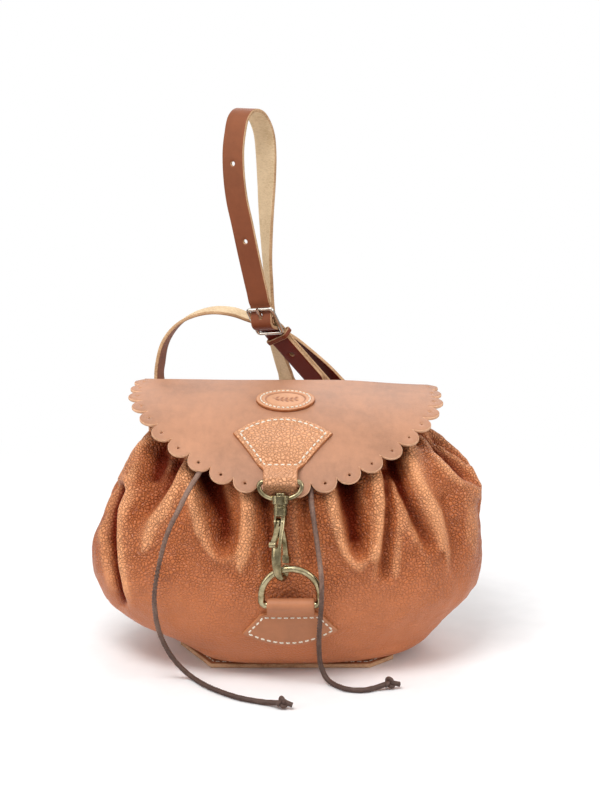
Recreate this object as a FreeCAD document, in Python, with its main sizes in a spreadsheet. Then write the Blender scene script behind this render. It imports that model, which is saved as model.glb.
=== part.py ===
import FreeCAD, Part
import Sketcher
import math
import os
from FreeCAD import Vector as V, Placement, Rotation, Matrix

# Gathered leather shoulder bag: scalloped flap with a badge, a swivel trigger
# hook and a front D-ring, a drawcord and a buckled shoulder strap.
# Frame: +X to the right seen from the front, +Y to the back panel, +Z up.
# Origin: centre of the base's underside. Millimetres.

doc = FreeCAD.newDocument("gathered_bag")
sheet = doc.addObject("Spreadsheet::Sheet", "dims")
DIMS = [
    # base
    ("base_half_x", 72.0), ("base_half_y", 45.0), ("base_front_half", 50.0),
    ("base_corner_y", 20.0), ("base_thick", 3.0),
    # back panel
    ("panel_thick", 2.2), ("panel_inner_y", 60.2), ("panel_top_z", 155.5),
    ("panel_top_half", 102.0), ("panel_low_half", 62.0),
    # pouch
    ("pouch_wall", 2.4), ("pouch_low_z", 3.15), ("pouch_rim_z", 156.0), ("pouch_back_y", 59.6),
    # flap
    ("flap_thick", 2.2), ("flap_half", 101.0), ("flap_centre_x", 0.6),
    ("scallop_rad", 8.8), ("scallop_hole_rad", 0.95),
    # flap badge
    ("badge_half_x", 20.5), ("badge_half_y", 16.5), ("badge_thick", 2.0),
    # flap tab and swivel eye
    ("tab_thick", 1.8), ("tab_half", 10.9), ("tab_bar_y", -79.6), ("tab_bar_z", 136.3),
    ("tab_x", -2.3), ("eye_wire_rad", 1.55), ("eye_half", 13.3), ("eye_drop", 11.0),
    ("boss_rad", 5.65), ("boss_tall", 5.6),
    # trigger hook
    ("post_rad", 2.1), ("post_gap", 0.08), ("barrel_rad", 4.6), ("barrel_tall", 7.1),
    ("hook_lean_y", -0.2), ("hook_turn_deg", 27.0), ("spine_wide", 7.0),
    ("spine_thick", 3.8), ("gate_pin_rad", 0.95), ("slot_wide", 3.6),
    # front ring and its tab
    ("ring_wire_rad", 2.2), ("ring_rad", 18.3), ("ring_x", 4.1), ("ring_bar_y", -87.0),
    ("ring_bar_z", 58.2), ("ring_tall", 25.0), ("ring_corner", 3.0),
    ("front_tab_half", 15.2), ("front_tab_thick", 2.0),
    # strap, buckle and keeper
    ("strap_wide", 16.0), ("strap_thick", 2.4), ("strap_hole_rad", 1.6),
    ("buckle_wide", 21.8), ("buckle_tall", 24.0), ("buckle_wire_rad", 1.3),
    ("bar_rad", 1.2), ("prong_rad", 1.0), ("keeper_tall", 4.2), ("keeper_thick", 1.2),
    # drawcord
    ("cord_rad", 1.75), ("knot_rad", 3.4),
]
for row, (name, value) in enumerate(DIMS, start=1):
    sheet.set("A%d" % row, name)
    sheet.set("B%d" % row, str(value))
    sheet.setAlias("B%d" % row, name)
doc.recompute()

NODES = []
X_AXIS = V(1, 0, 0)
Z_AXIS = V(0, 0, 1)


# ---------------------------------------------------------------- helpers
def dim(alias):
    return float(sheet.get(alias))


def at(x, y, z):
    return Placement(V(x, y, z), Rotation())


def solid_of(shape):
    """the single solid of a shape, or the shape itself if it has several"""
    if shape.ShapeType != "Solid" and len(shape.Solids) == 1:
        return shape.Solids[0]
    return shape


def local(origin, ex, ey, ez):
    """matrix that takes local x, y, z to the three given directions at origin"""
    return Matrix(ex.x, ey.x, ez.x, origin.x,
                  ex.y, ey.y, ez.y, origin.y,
                  ex.z, ey.z, ez.z, origin.z,
                  0, 0, 0, 1)


def placed(shape, frame):
    moved = shape.copy()
    moved.transformShape(frame, True, False)
    return moved


def feature(label, shape, frame=None):
    """exported piece from a shape, moved from its local frame if one is given"""
    if frame is not None:
        shape = placed(solid_of(shape), frame)
    obj = doc.addObject("Part::Feature", label)
    obj.Shape = solid_of(shape)
    obj.Placement = at(0, 0, 0)
    NODES.append(obj)


def neighbours(items, i):
    return items[max(i - 1, 0)], items[min(i + 1, len(items) - 1)]


def catmull_rom(points, per):
    """spline through points of any dimension, `per` steps a span"""
    last = len(points) - 1
    out = []
    for i in range(last):
        p0, p1, p2, p3 = (points[min(max(k, 0), last)] for k in range(i - 1, i + 3))
        for step in range(per):
            t = step / per
            values = []
            for c0, c1, c2, c3 in zip(p0, p1, p2, p3):
                slope1 = (c2 - c0) * 0.5
                slope2 = (c3 - c1) * 0.5
                cubic = 2 * c1 - 2 * c2 + slope1 + slope2
                square = -3 * c1 + 3 * c2 - 2 * slope1 - slope2
                values.append(((cubic * t + square) * t + slope1) * t + c1)
            out.append(tuple(values))
    out.append(tuple(points[-1]))
    return out


def spline_edge(points):
    curve = Part.BSplineCurve()
    curve.interpolate([V(*p) for p in points])
    return curve.toShape()


def line(start, end):
    return Part.LineSegment(start, end).toShape()


def corner_arc(start, corner, end):
    """quarter circle that rounds a square corner between two points on its sides"""
    centre = start + end - corner
    middle = centre + (corner - centre).normalize() * (corner - start).Length
    return Part.Arc(start, middle, end).toShape()


def sweep_round(edges, radius):
    """round wire along the edges"""
    path = Part.Wire(edges)
    first = path.OrderedEdges[0]
    start = first.FirstParameter
    circle = Part.makeCircle(radius, first.valueAt(start), first.tangentAt(start))
    return solid_of(path.makePipeShell([Part.Wire([circle])], True, False))


def tube(points, radius):
    return sweep_round([spline_edge(points)], radius)


def prism(corners, direction):
    return Part.Face(Part.makePolygon(corners + [corners[0]])).extrude(direction)


def prism_xy(points, z0, z1):
    return prism([V(x, y, z0) for x, y in points], V(0, 0, z1 - z0))


def prism_xz(points, y0, y1):
    return prism([V(x, y0, z) for x, z in points], V(0, y1 - y0, 0))


def prism_yz(points, x0, x1):
    return prism([V(x0, y, z) for y, z in points], V(x1 - x0, 0, 0))


def x_cylinder(radius, x0, x1, y, z):
    return Part.makeCylinder(radius, x1 - x0, V(x0, y, z), X_AXIS)


def centred_box(x, y, z):
    return Part.makeBox(x, y, z, V(-x / 2, -y / 2, -z / 2))


def fillet_circles(shape, radius):
    return shape.makeFillet(radius, [e for e in shape.Edges
                                     if e.Curve.TypeId == "Part::GeomCircle"])


# ---------------------------------------------------------------- base panel
# corners of the outline: x dimension, y dimension, x sign, y sign
BASE_CORNERS = [
    ("base_front_half", "base_half_y", -1, -1), ("base_front_half", "base_half_y", 1, -1),
    ("base_half_x", "base_corner_y", 1, -1), ("base_half_x", "base_corner_y", 1, 1),
    ("base_front_half", "base_half_y", 1, 1), ("base_front_half", "base_half_y", -1, 1),
    ("base_half_x", "base_corner_y", -1, 1), ("base_half_x", "base_corner_y", -1, -1),
]


def make_base_panel():
    """flat leather base with clipped corners, each corner bound to the sheet"""
    body = doc.addObject("PartDesign::Body", "base_panel")
    plane = [f for f in body.Origin.OriginFeatures if f.Role == "XY_Plane"][0]
    sketch = body.newObject("Sketcher::SketchObject", "base_outline")
    sketch.AttachmentSupport = [(plane, "")]
    sketch.MapMode = "FlatFace"
    points = [V(sx * dim(dx), sy * dim(dy), 0) for dx, dy, sx, sy in BASE_CORNERS]
    count = len(points)
    for i in range(count):
        sketch.addGeometry(Part.LineSegment(points[i], points[(i + 1) % count]), False)
    for i in range(count):
        sketch.addConstraint(Sketcher.Constraint("Coincident", i, 2, (i + 1) % count, 1))
    for i, (dx, dy, sx, sy) in enumerate(BASE_CORNERS):
        for kind, alias, sign in (("DistanceX", dx, sx), ("DistanceY", dy, sy)):
            index = sketch.addConstraint(
                Sketcher.Constraint(kind, -1, 1, i, 1, sign * dim(alias)))
            sketch.setExpression("Constraints[%d]" % index, "%d * dims.%s" % (sign, alias))
    pad = body.newObject("PartDesign::Pad", "base_pad")
    pad.Profile = sketch
    pad.setExpression("Length", "dims.base_thick")
    doc.recompute()
    NODES.append(body)


# ---------------------------------------------------------------- pouch
# elliptic sections: height, half width, front y, back y, centre x
POUCH = [
    (dim("pouch_low_z"), 70.0, -44.0, 50.0, 0.0),
    (7.0, 88.0, -54.0, 58.0, 0.0),
    (16.0, 103.0, -65.0, 64.0, 0.0),
    (30.0, 115.0, -74.0, 66.0, -1.0),
    (46.0, 125.0, -79.0, 67.0, -0.5),
    (60.0, 129.5, -80.0, 66.0, 0.5),
    (76.0, 129.0, -78.5, 66.0, 1.5),
    (94.0, 123.5, -75.0, 66.0, 4.0),
    (112.0, 117.0, -70.0, 66.0, 5.5),
    (128.0, 109.0, -61.0, 64.0, 6.5),
    (140.0, 99.0, -47.5, 62.0, 5.0),
    (149.0, 85.0, -32.5, 59.0, 3.0),
    (153.5, 73.0, -24.0, 55.0, 1.0),
    (dim("pouch_rim_z"), 66.0, -19.0, 52.0, 0.0),
]
INNER_SECOND_Z = 8.2
RIM_OVERCUT = 0.4


def loft_sections(name, rows, grow=""):
    """loft through pouch sections, radii enlarged by the sheet expression `grow`"""
    sections = []
    for i, (z, half_x, front_y, back_y, centre_x) in enumerate(rows):
        half_y = (back_y - front_y) / 2
        ellipse = doc.addObject("Part::Ellipse", "%s_sec%02d" % (name, i))
        ellipse.MajorRadius = half_x
        ellipse.MinorRadius = half_y
        ellipse.Placement = at(centre_x, (back_y + front_y) / 2, z)
        if grow:
            ellipse.setExpression("MajorRadius", "%.4f + (%s)" % (half_x, grow))
            ellipse.setExpression("MinorRadius", "%.4f + (%s)" % (half_y, grow))
        sections.append(ellipse)
    loft = doc.addObject("Part::Loft", name)
    loft.Sections = sections
    loft.Solid = True
    loft.Ruled = False
    return loft


def cut_object(name, base, tool):
    cut = doc.addObject("Part::Cut", name)
    cut.Base, cut.Tool = base, tool
    return cut


def flatten_back(name, loft, box_name, back_y):
    """cut away everything behind the plane at the sheet expression back_y"""
    box = doc.addObject("Part::Box", box_name)
    box.Length, box.Width, box.Height = 400, 60, 200
    box.Placement = at(-200, 0, -5)
    box.setExpression("Placement.Base.y", back_y)
    return cut_object(name, loft, box)


def make_pouch():
    """gathered wall, open at the top, closed below and flat at the back"""
    inner_rows = list(POUCH)
    inner_rows[0] = (POUCH[0][0] + dim("pouch_wall"),) + POUCH[0][1:]
    inner_rows[1] = (INNER_SECOND_Z,) + POUCH[1][1:]
    inner_rows[-1] = (POUCH[-1][0] + RIM_OVERCUT,) + POUCH[-1][1:]
    outer = loft_sections("pouch_outer", POUCH)
    inner = loft_sections("pouch_inner", inner_rows, "0 - dims.pouch_wall")
    outer_flat = flatten_back("pouch_outer_flat", outer, "pouch_back_cut",
                              "dims.pouch_back_y")
    inner_flat = flatten_back("pouch_inner_flat", inner, "pouch_inner_back_cut",
                              "dims.pouch_back_y - dims.pouch_wall")
    NODES.append(cut_object("pouch_shell", outer_flat, inner_flat))
    doc.recompute()


# ---------------------------------------------------------------- back panel
def make_back_panel():
    top = dim("panel_top_half")
    # right half of the outline, from the bottom up: x, z
    right = [(dim("panel_low_half"), 10.0), (84.0, 30.0), (98.0, 62.0), (top, 100.0),
             (top, dim("panel_top_z"))]
    left = [(-x, z) for x, z in reversed(right)]
    inner_y = dim("panel_inner_y")
    feature("back_panel", prism_xz(right + left, inner_y, inner_y + dim("panel_thick")))


# ---------------------------------------------------------------- flap
# middle surface of the flap, from the fold at the back forward: y, z
PROFILE = [
    (59.6, 163.4), (58.2, 167.6), (55.0, 170.4), (50.5, 171.7), (45.0, 172.0), (36.0, 171.8),
    (27.0, 171.2), (18.0, 170.5), (9.0, 169.4), (0.2, 167.9), (-8.0, 166.1), (-16.3, 163.7),
    (-24.5, 160.9), (-32.2, 157.6), (-39.0, 154.1), (-45.3, 150.5), (-50.8, 146.8),
    (-55.8, 142.7), (-61.6, 137.5), (-67.3, 131.6), (-72.8, 125.8), (-78.4, 119.8),
    (-84.0, 113.6),
]
PAST_FOLD = 4  # first profile point forward of the fold
# scallop centres on one half: distance from the middle, y
SCALLOPS = [
    (8.15, -69.6), (25.2, -67.2), (40.6, -62.9), (55.0, -56.4), (68.2, -47.6), (79.6, -36.2),
    (88.4, -22.6), (94.8, -7.4), (99.0, 9.2), (100.8, 26.4), (101.2, 42.0),
]
HALF_FLAP = dim("flap_thick") / 2
LAID_ON = HALF_FLAP + 0.06  # underside of pieces laid on the flap
FOLD_Y = (47.0, 66.0)  # reach of the plain sides over the fold


def profile_curve(offset):
    """points of the flap profile moved outward by offset"""
    res = []
    for i, (y, z) in enumerate(PROFILE):
        before, after = neighbours(PROFILE, i)
        dy, dz = after[0] - before[0], after[1] - before[1]
        length = math.hypot(dy, dz)
        res.append((y + dz / length * offset, z - dy / length * offset))
    return res


def layer(low, high, x0, x1, first=0, last=None):
    """leather between two offsets of the flap profile, spanning x0 to x1"""
    a = [(x0, y, z) for y, z in profile_curve(low)[first:last]]
    b = [(x0, y, z) for y, z in profile_curve(high)[first:last]]
    outline = Part.Wire([spline_edge(a), line(V(*a[-1]), V(*b[-1])),
                         spline_edge(b), line(V(*b[0]), V(*a[0]))])
    return Part.Face(outline).extrude(V(x1 - x0, 0, 0))


def profile_at(y):
    """middle surface height and outward normal at y, forward of the fold"""
    points = PROFILE[PAST_FOLD:]
    for (ya, za), (yb, zb) in zip(points, points[1:]):
        if yb <= y <= ya:
            length = math.hypot(yb - ya, zb - za)
            z = za + (ya - y) / (ya - yb) * (zb - za)
            return z, V(0, (zb - za) / length, (ya - yb) / length)
    raise ValueError(y)


def make_flap():
    """leather sheet with a row of pierced scallops round its free edge"""
    centre_x, half = dim("flap_centre_x"), dim("flap_half")
    near, far = FOLD_Y
    leather = layer(-HALF_FLAP, HALF_FLAP, -120, 120)
    right = [(centre_x + x, y) for x, y in SCALLOPS]
    left = [(centre_x - x, y) for x, y in reversed(SCALLOPS)]
    fold = [(centre_x + half, near), (centre_x + half, far),
            (centre_x - half, far), (centre_x - half, near)]
    blanks = [prism_xy(right + fold + left, 90, 190)]
    holes = []
    for x, y in right + left:
        z, normal = profile_at(y)
        start = V(x, y, z) - normal * 6
        blanks.append(Part.makeCylinder(dim("scallop_rad"), 12, start, normal))
        holes.append(Part.makeCylinder(dim("scallop_hole_rad"), 12, start, normal))
    pieces = [leather.common(b) for b in blanks]
    flap = pieces[0].multiFuse(pieces[1:]).removeSplitter()
    feature("flap", flap.cut(Part.makeCompound(holes)))


def make_flap_badge():
    """oval badge on the flap, its middle recessed"""
    border_x, border_y, recess_depth = 5.2, 4.4, 0.6

    def oval_prism(half_x, half_y):
        outline = Part.Wire([Part.Ellipse(V(0, 0, 0), half_x, half_y).toShape()])
        oval = Part.Face(outline).extrude(V(0, 0, 80))
        oval.Placement = at(0.4, 7.0, 130)
        return oval

    half_x, half_y = dim("badge_half_x"), dim("badge_half_y")
    top = LAID_ON + dim("badge_thick")
    badge = layer(LAID_ON, top, -40, 40, PAST_FOLD, 18).common(oval_prism(half_x, half_y))
    recess = oval_prism(half_x - border_x, half_y - border_y)
    top_skin = layer(top - recess_depth, HALF_FLAP + 4.0, -40, 40, PAST_FOLD, 16)
    feature("flap_badge", badge.cut(recess.common(top_skin)))


# ---------------------------------------------------------------- flap tab
TAB_X, TAB_BAR_Y, TAB_BAR_Z = dim("tab_x"), dim("tab_bar_y"), dim("tab_bar_z")


def layer_point(y, offset):
    """y, z of the point offset outward from the flap's middle surface at y"""
    z, normal = profile_at(y)
    point = V(0, y, z) + normal * offset
    return point.y, point.z


def bar_tangent(point, radius, side):
    """y, z where a line from point touches a circle round the tab's bar"""
    dy, dz = point[0] - TAB_BAR_Y, point[1] - TAB_BAR_Z
    angle = math.atan2(dz, dy) + side * math.acos(radius / math.hypot(dy, dz))
    return TAB_BAR_Y + radius * math.cos(angle), TAB_BAR_Z + radius * math.sin(angle)


def make_flap_tab():
    """fan-shaped tab on the flap; its neck wraps the swivel eye's bar"""
    thick, bar_gap = dim("tab_thick"), 0.1
    x0, x1 = TAB_X - dim("tab_half"), TAB_X + dim("tab_half")
    inner_rad = dim("eye_wire_rad") + bar_gap
    outer_rad = inner_rad + thick
    fan_outline = [(-33.0, -35.2), (-17.0, -23.6), (-2.0, -20.4), (14.0, -23.8),
                   (31.0, -35.6), (x1, -60.5), (x0, -60.5)]
    fan = layer(LAID_ON, LAID_ON + thick, -60, 60, 8, 20).common(
        prism_xy(fan_outline, 100, 190))

    # upper layer leaves the fan's lower edge for the top of the wrap
    upper_y = -59.0
    upper_in, upper_out = layer_point(upper_y, LAID_ON), layer_point(upper_y, LAID_ON + thick)
    top_out = bar_tangent(upper_out, outer_rad, 1)
    top_in = bar_tangent(upper_in, inner_rad, 1)
    upper = prism_yz([upper_out, top_out, top_in, upper_in], x0, x1)
    # lower layer returns from the underside of the wrap to the flap
    lower_y, lower_offset = -64.0, HALF_FLAP + 0.25
    lower_out = layer_point(lower_y, lower_offset)
    lower_in = layer_point(lower_y, lower_offset + thick)
    low_out = bar_tangent(lower_out, outer_rad, -1)
    low_in = bar_tangent(lower_in, inner_rad, -1)
    lower = prism_yz([lower_out, low_out, low_in, lower_in], x0, x1)
    # only the wrap's front, the side away from the flap, is kept
    wrap = x_cylinder(outer_rad, x0, x1, TAB_BAR_Y, TAB_BAR_Z)
    away = prism_yz([top_out, (top_out[0] - 8, top_out[1] + 6), (TAB_BAR_Y - 12, TAB_BAR_Z),
                     (low_out[0] - 8, low_out[1] - 6), low_out, (TAB_BAR_Y, TAB_BAR_Z)], x0, x1)
    neck = upper.fuse(lower).fuse(wrap.common(away))
    neck = neck.cut(x_cylinder(inner_rad, x0 - 1, x1 + 1, TAB_BAR_Y, TAB_BAR_Z))
    # clear the space the flap takes
    under = profile_curve(HALF_FLAP + 0.05)[8:21]
    neck = neck.cut(prism_yz(under + [(under[-1][0], 90.0), (under[0][0], 90.0)], -60, 60))
    feature("flap_tab", fan.fuse(neck).removeSplitter())


# ---------------------------------------------------------------- swivel eye
# eye frame: x along the bar, y to the front, z down the swivel axis
LEAN = dim("hook_lean_y")
DOWN = V(0, LEAN, -math.sqrt(1 - LEAN * LEAN))
FRONT = DOWN.cross(X_AXIS)
BAR_CENTRE = V(TAB_X, TAB_BAR_Y, TAB_BAR_Z)
EYE = local(BAR_CENTRE, X_AXIS, FRONT, DOWN)
BOSS_TALL = dim("boss_tall")


def make_swivel_eye():
    """wire eye with a straight bar and a bored boss at the bottom of its bow"""
    half, drop, corner = dim("eye_half"), dim("eye_drop"), 2.6
    bow = Part.Ellipse(V(half, 0, corner), V(0, 0, drop), V(0, 0, corner))
    eye = sweep_round([
        line(V(-half + corner, 0, 0), V(half - corner, 0, 0)),
        corner_arc(V(half - corner, 0, 0), V(half, 0, 0), V(half, 0, corner)),
        Part.ArcOfEllipse(bow, 0, math.pi).toShape(),
        corner_arc(V(-half, 0, corner), V(-half, 0, 0), V(-half + corner, 0, 0)),
    ], dim("eye_wire_rad"))
    boss_z = drop - BOSS_TALL / 2
    boss = Part.makeCylinder(dim("boss_rad"), BOSS_TALL, V(0, 0, boss_z), Z_AXIS)
    boss = boss.makeFillet(0.5, [boss.Edges[0], boss.Edges[2]])
    eye = eye.fuse(boss)
    bore_rad = dim("post_rad") + dim("post_gap")
    eye = eye.cut(Part.makeCylinder(bore_rad, BOSS_TALL + 8, V(0, 0, boss_z - 4), Z_AXIS))
    feature("swivel_eye", eye, EYE)


# ---------------------------------------------------------------- trigger hook
# hook frame: origin in the boss, x across the hook, y towards the spine side,
# z down the swivel axis
TURN = math.radians(dim("hook_turn_deg"))
SPINE_SIDE = (FRONT * math.cos(TURN) - X_AXIS * math.sin(TURN)).normalize()
HOOK = local(BAR_CENTRE + DOWN * dim("eye_drop"), SPINE_SIDE.cross(DOWN).normalize(),
             SPINE_SIDE, DOWN)
SPINE_HALF_X, SPINE_HALF = dim("spine_wide") / 2, dim("spine_thick") / 2
PIN_RAD, PIN_Y, PIN_Z = dim("gate_pin_rad"), -0.4, 14.2
SWIVEL_GAP = 0.15  # between the boss and the parts above and below it


def spine_stations():
    """y, z, half width, half thickness from the barrel round the hook's tip"""
    wide, half = SPINE_HALF_X, SPINE_HALF
    return [
        (0.2, 8.5, wide, half + 0.5), (0.6, 12.5, wide + 0.1, half + 0.2),
        (1.9, 17.5, wide + 0.1, half), (3.6, 23.0, wide, half),
        (5.0, 29.0, wide - 0.1, half), (5.6, 35.0, wide - 0.2, half),
        (5.1, 41.0, wide - 0.4, half), (3.1, 46.2, wide - 0.7, half + 0.05),
        (-0.6, 49.2, wide - 0.9, half + 0.1), (-4.8, 48.7, wide - 1.0, half),
        (-7.6, 45.6, wide - 1.1, half - 0.2), (-8.7, 41.9, wide - 1.3, half - 0.4),
    ]


def hook_spine():
    rows = catmull_rom(spine_stations(), 2)
    sections = []
    for i, (y, z, half_x, half_thick) in enumerate(rows):
        before, after = neighbours(rows, i)
        tangent = V(0, after[0] - before[0], after[1] - before[1]).normalize()
        normal = X_AXIS.cross(tangent).normalize()
        centre = V(0, y, z)
        ellipse = Part.Ellipse(centre + X_AXIS * half_x, centre + normal * half_thick, centre)
        sections.append(Part.Wire([ellipse.toShape()]))
    return solid_of(Part.makeLoft(sections, True, False))


def make_hook_body():
    """post and head through the boss, grooved barrel, and the slotted spine"""
    post = Part.makeCylinder(dim("post_rad"), BOSS_TALL + 2.0,
                             V(0, 0, -BOSS_TALL / 2 - 1.0), Z_AXIS)
    head_tall = 1.5
    head_top = -BOSS_TALL / 2 - SWIVEL_GAP - head_tall
    head = Part.makeCylinder(3.1, head_tall, V(0, 0, head_top), Z_AXIS)
    head = head.makeFillet(0.6, [e for e in head.Edges
                                 if abs(e.CenterOfMass.z - head_top) < 0.01 and e.Length > 5])
    head = head.cut(Part.makeSphere(2.0, V(0, 0, head_top - 1.45)))

    barrel_z = BOSS_TALL / 2 + SWIVEL_GAP
    barrel_rad, barrel_tall = dim("barrel_rad"), dim("barrel_tall")
    barrel = Part.makeCylinder(barrel_rad, barrel_tall, V(0, 0, barrel_z), Z_AXIS)
    barrel = fillet_circles(barrel, 0.7)
    barrel = barrel.cut(Part.makeTorus(barrel_rad + 0.25, 0.55, V(0, 0, barrel_z + 1.6), Z_AXIS))

    # slot for the gate, with a rounded lower end
    slot_wide, slot_long = dim("slot_wide"), 17.0
    slot_z = barrel_z + barrel_tall + 0.3
    slot = Part.makeBox(slot_wide, 30, slot_long, V(-slot_wide / 2, -12, slot_z))
    slot_end = Part.makeCylinder(slot_wide / 2, 30, V(0, -12, slot_z + slot_long), V(0, 1, 0))

    hook = post.fuse(head).fuse(barrel).fuse(hook_spine())
    # cheeks that carry the gate pin
    cheek_half = SPINE_HALF_X - 0.3
    cheeks = x_cylinder(3.0, -cheek_half, cheek_half, PIN_Y, PIN_Z)
    cheek_neck = Part.makeBox(2 * cheek_half, 5.2, 6.0, V(-cheek_half, PIN_Y - 2.6, 8.6))
    hook = hook.fuse(cheeks).fuse(cheek_neck)
    hook = hook.cut(slot).cut(slot_end)
    hook = hook.cut(x_cylinder(PIN_RAD, -6, 6, PIN_Y, PIN_Z))
    feature("hook_body", hook.removeSplitter(), HOOK)


def make_gate_pin():
    half = SPINE_HALF_X - 0.25
    feature("gate_pin", x_cylinder(PIN_RAD - 0.005, -half, half, PIN_Y, PIN_Z), HOOK)


def flat_bar(rows, x0, x1):
    """bar between x0 and x1 along stations y, z, half thickness"""
    one_side, other_side = [], []
    for i, (y, z, half) in enumerate(rows):
        before, after = neighbours(rows, i)
        dy, dz = after[0] - before[0], after[1] - before[1]
        length = math.hypot(dy, dz)
        ny, nz = dz / length, -dy / length
        one_side.append((y + ny * half, z + nz * half))
        other_side.append((y - ny * half, z - nz * half))
    return prism_yz(one_side + other_side[::-1], x0, x1)


# stations of the gate's arm, tip and thumb lever: y, z, half thickness
GATE_ARM = [(-1.2, 15.5, 1.3), (-3.6, 20.0, 1.15), (-6.0, 26.0, 1.05), (-7.6, 32.0, 1.05),
            (-8.55, 36.4, 1.25), (-8.8, 40.2, 1.2)]
GATE_TIP = [(-8.35, 35.6, 1.5), (-8.8, 40.3, 1.4)]
LEVER = [(0.6, 15.0, 1.25), (3.0, 18.6, 1.15), (5.6, 22.2, 1.05), (8.0, 25.2, 1.0),
         (9.4, 26.6, 1.0)]


def make_gate():
    """gate with its thumb lever, turning on the pin inside the slot"""
    hub_x0, hub_x1 = -1.6, -1.6 + 1.9
    hub = x_cylinder(2.35, hub_x0, hub_x1, PIN_Y, PIN_Z)
    # arm and lever are cut back beside the hub to leave room for the spring
    arm = flat_bar(catmull_rom(GATE_ARM, 3), -1.6, 1.6)
    arm = arm.cut(Part.makeBox(4, 8, 6.6, V(hub_x1, -6, 12.0)))
    tip = flat_bar(GATE_TIP, -2.3, 2.3)
    lever = flat_bar(catmull_rom(LEVER, 3), hub_x0, hub_x0 + 3.1)
    lever = lever.cut(Part.makeBox(4, 8, 4.6, V(hub_x1, -3, 12.0)))
    knob = fillet_circles(x_cylinder(2.0, -2.3, 2.3, 9.7, 27.4), 0.5)
    gate = hub.fuse(arm).fuse(tip).fuse(lever).fuse(knob)
    gate = gate.cut(x_cylinder(PIN_RAD + 0.06, -6, 6, PIN_Y, PIN_Z))
    feature("gate_lever", gate.removeSplitter(), HOOK)


def make_gate_spring():
    """spring coiled round the pin beside the gate's hub, eight points a turn"""
    start_x, reach, steps, coil_rad, wire_rad = 0.55, 1.05, 14, 1.5, 0.22
    coil = [(start_x + reach * i / steps,
             PIN_Y + coil_rad * math.cos(i * math.pi / 4),
             PIN_Z + coil_rad * math.sin(i * math.pi / 4)) for i in range(steps + 1)]
    feature("gate_spring", tube(coil, wire_rad), HOOK)


# ---------------------------------------------------------------- front D-ring and its tab
RING_X, RING_BAR_Y, RING_BAR_Z = dim("ring_x"), dim("ring_bar_y"), dim("ring_bar_z")
RING_TOP_Y = -90.2


def make_front_ring():
    """D-ring with its bow up; local x along the bar, z up the ring"""
    rad, tall, corner = dim("ring_rad"), dim("ring_tall"), dim("ring_corner")
    up = V(0, RING_TOP_Y - RING_BAR_Y, tall).normalize()
    frame = local(V(RING_X, RING_BAR_Y, RING_BAR_Z), X_AXIS, up.cross(X_AXIS), up)
    leg = tall - rad
    bow = Part.Arc(V(rad, 0, leg), V(0, 0, leg + rad), V(-rad, 0, leg)).toShape()
    ring = sweep_round([
        line(V(-rad + corner, 0, 0), V(rad - corner, 0, 0)),
        corner_arc(V(rad - corner, 0, 0), V(rad, 0, 0), V(rad, 0, corner)),
        line(V(rad, 0, corner), V(rad, 0, leg)),
        bow,
        line(V(-rad, 0, leg), V(-rad, 0, corner)),
        corner_arc(V(-rad, 0, corner), V(-rad, 0, 0), V(-rad + corner, 0, 0)),
    ], dim("ring_wire_rad"))
    feature("front_d_ring", ring, frame)


def make_front_tab():
    """fan-shaped tab on the pouch; its neck wraps the D-ring's bar"""
    skin_out = loft_sections("tab_outer_skin", POUCH[2:8], "dims.front_tab_thick + 0.25")
    skin_in = loft_sections("tab_inner_skin", POUCH[2:8], "0.25")
    doc.recompute()
    half = dim("front_tab_half")
    x0, x1 = RING_X - half, RING_X + half
    inner_rad = dim("ring_wire_rad") + 0.12
    outer_rad = inner_rad + dim("front_tab_thick")
    # fan outline: x from the ring's centre, z
    fan_outline = [(-31.0, 35.2), (-19.5, 49.5), (-half, 52.0), (half, 52.0), (19.5, 50.0),
                   (30.5, 37.4), (18.0, 30.6), (1.0, 28.2), (-17.0, 29.8)]
    fan_prism = prism_xz([(RING_X + x, z) for x, z in fan_outline], -110, -40)
    fan = skin_out.Shape.cut(skin_in.Shape).common(fan_prism)
    y, z = RING_BAR_Y, RING_BAR_Z
    wrap = x_cylinder(outer_rad, x0, x1, y, z)
    wedge = prism_yz([(y - outer_rad, z), (-84.0, 50.6), (-78.9, 50.0), (y + outer_rad, z)],
                     x0, x1)
    upper_half = prism_yz([(y - 8, z), (y + 8, z), (y + 8, z + 8), (y - 8, z + 8)], x0, x1)
    neck = wrap.common(upper_half).fuse(wedge)
    neck = neck.cut(x_cylinder(inner_rad, x0 - 1, x1 + 1, y, z))
    neck = neck.cut(skin_in.Shape)
    feature("front_tab", fan.fuse(neck).removeSplitter())


# ---------------------------------------------------------------- drawcord
CORD_RAD = dim("cord_rad")
CORD_Z = 154.3
# leads that run forward under the flap: x, y, z
LEADS = [
    [(-50.0, -18.4, CORD_Z), (-54.0, -30.0, 151.6), (-57.5, -45.0, 144.4),
     (-58.2, -54.0, 138.6), (-58.4, -60.5, 132.6)],
    [(10.0, -29.0, CORD_Z), (12.0, -40.0, 148.9), (13.0, -52.0, 140.6),
     (13.6, -62.0, 131.6), (14.0, -67.6, 125.6)],
]
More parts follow.
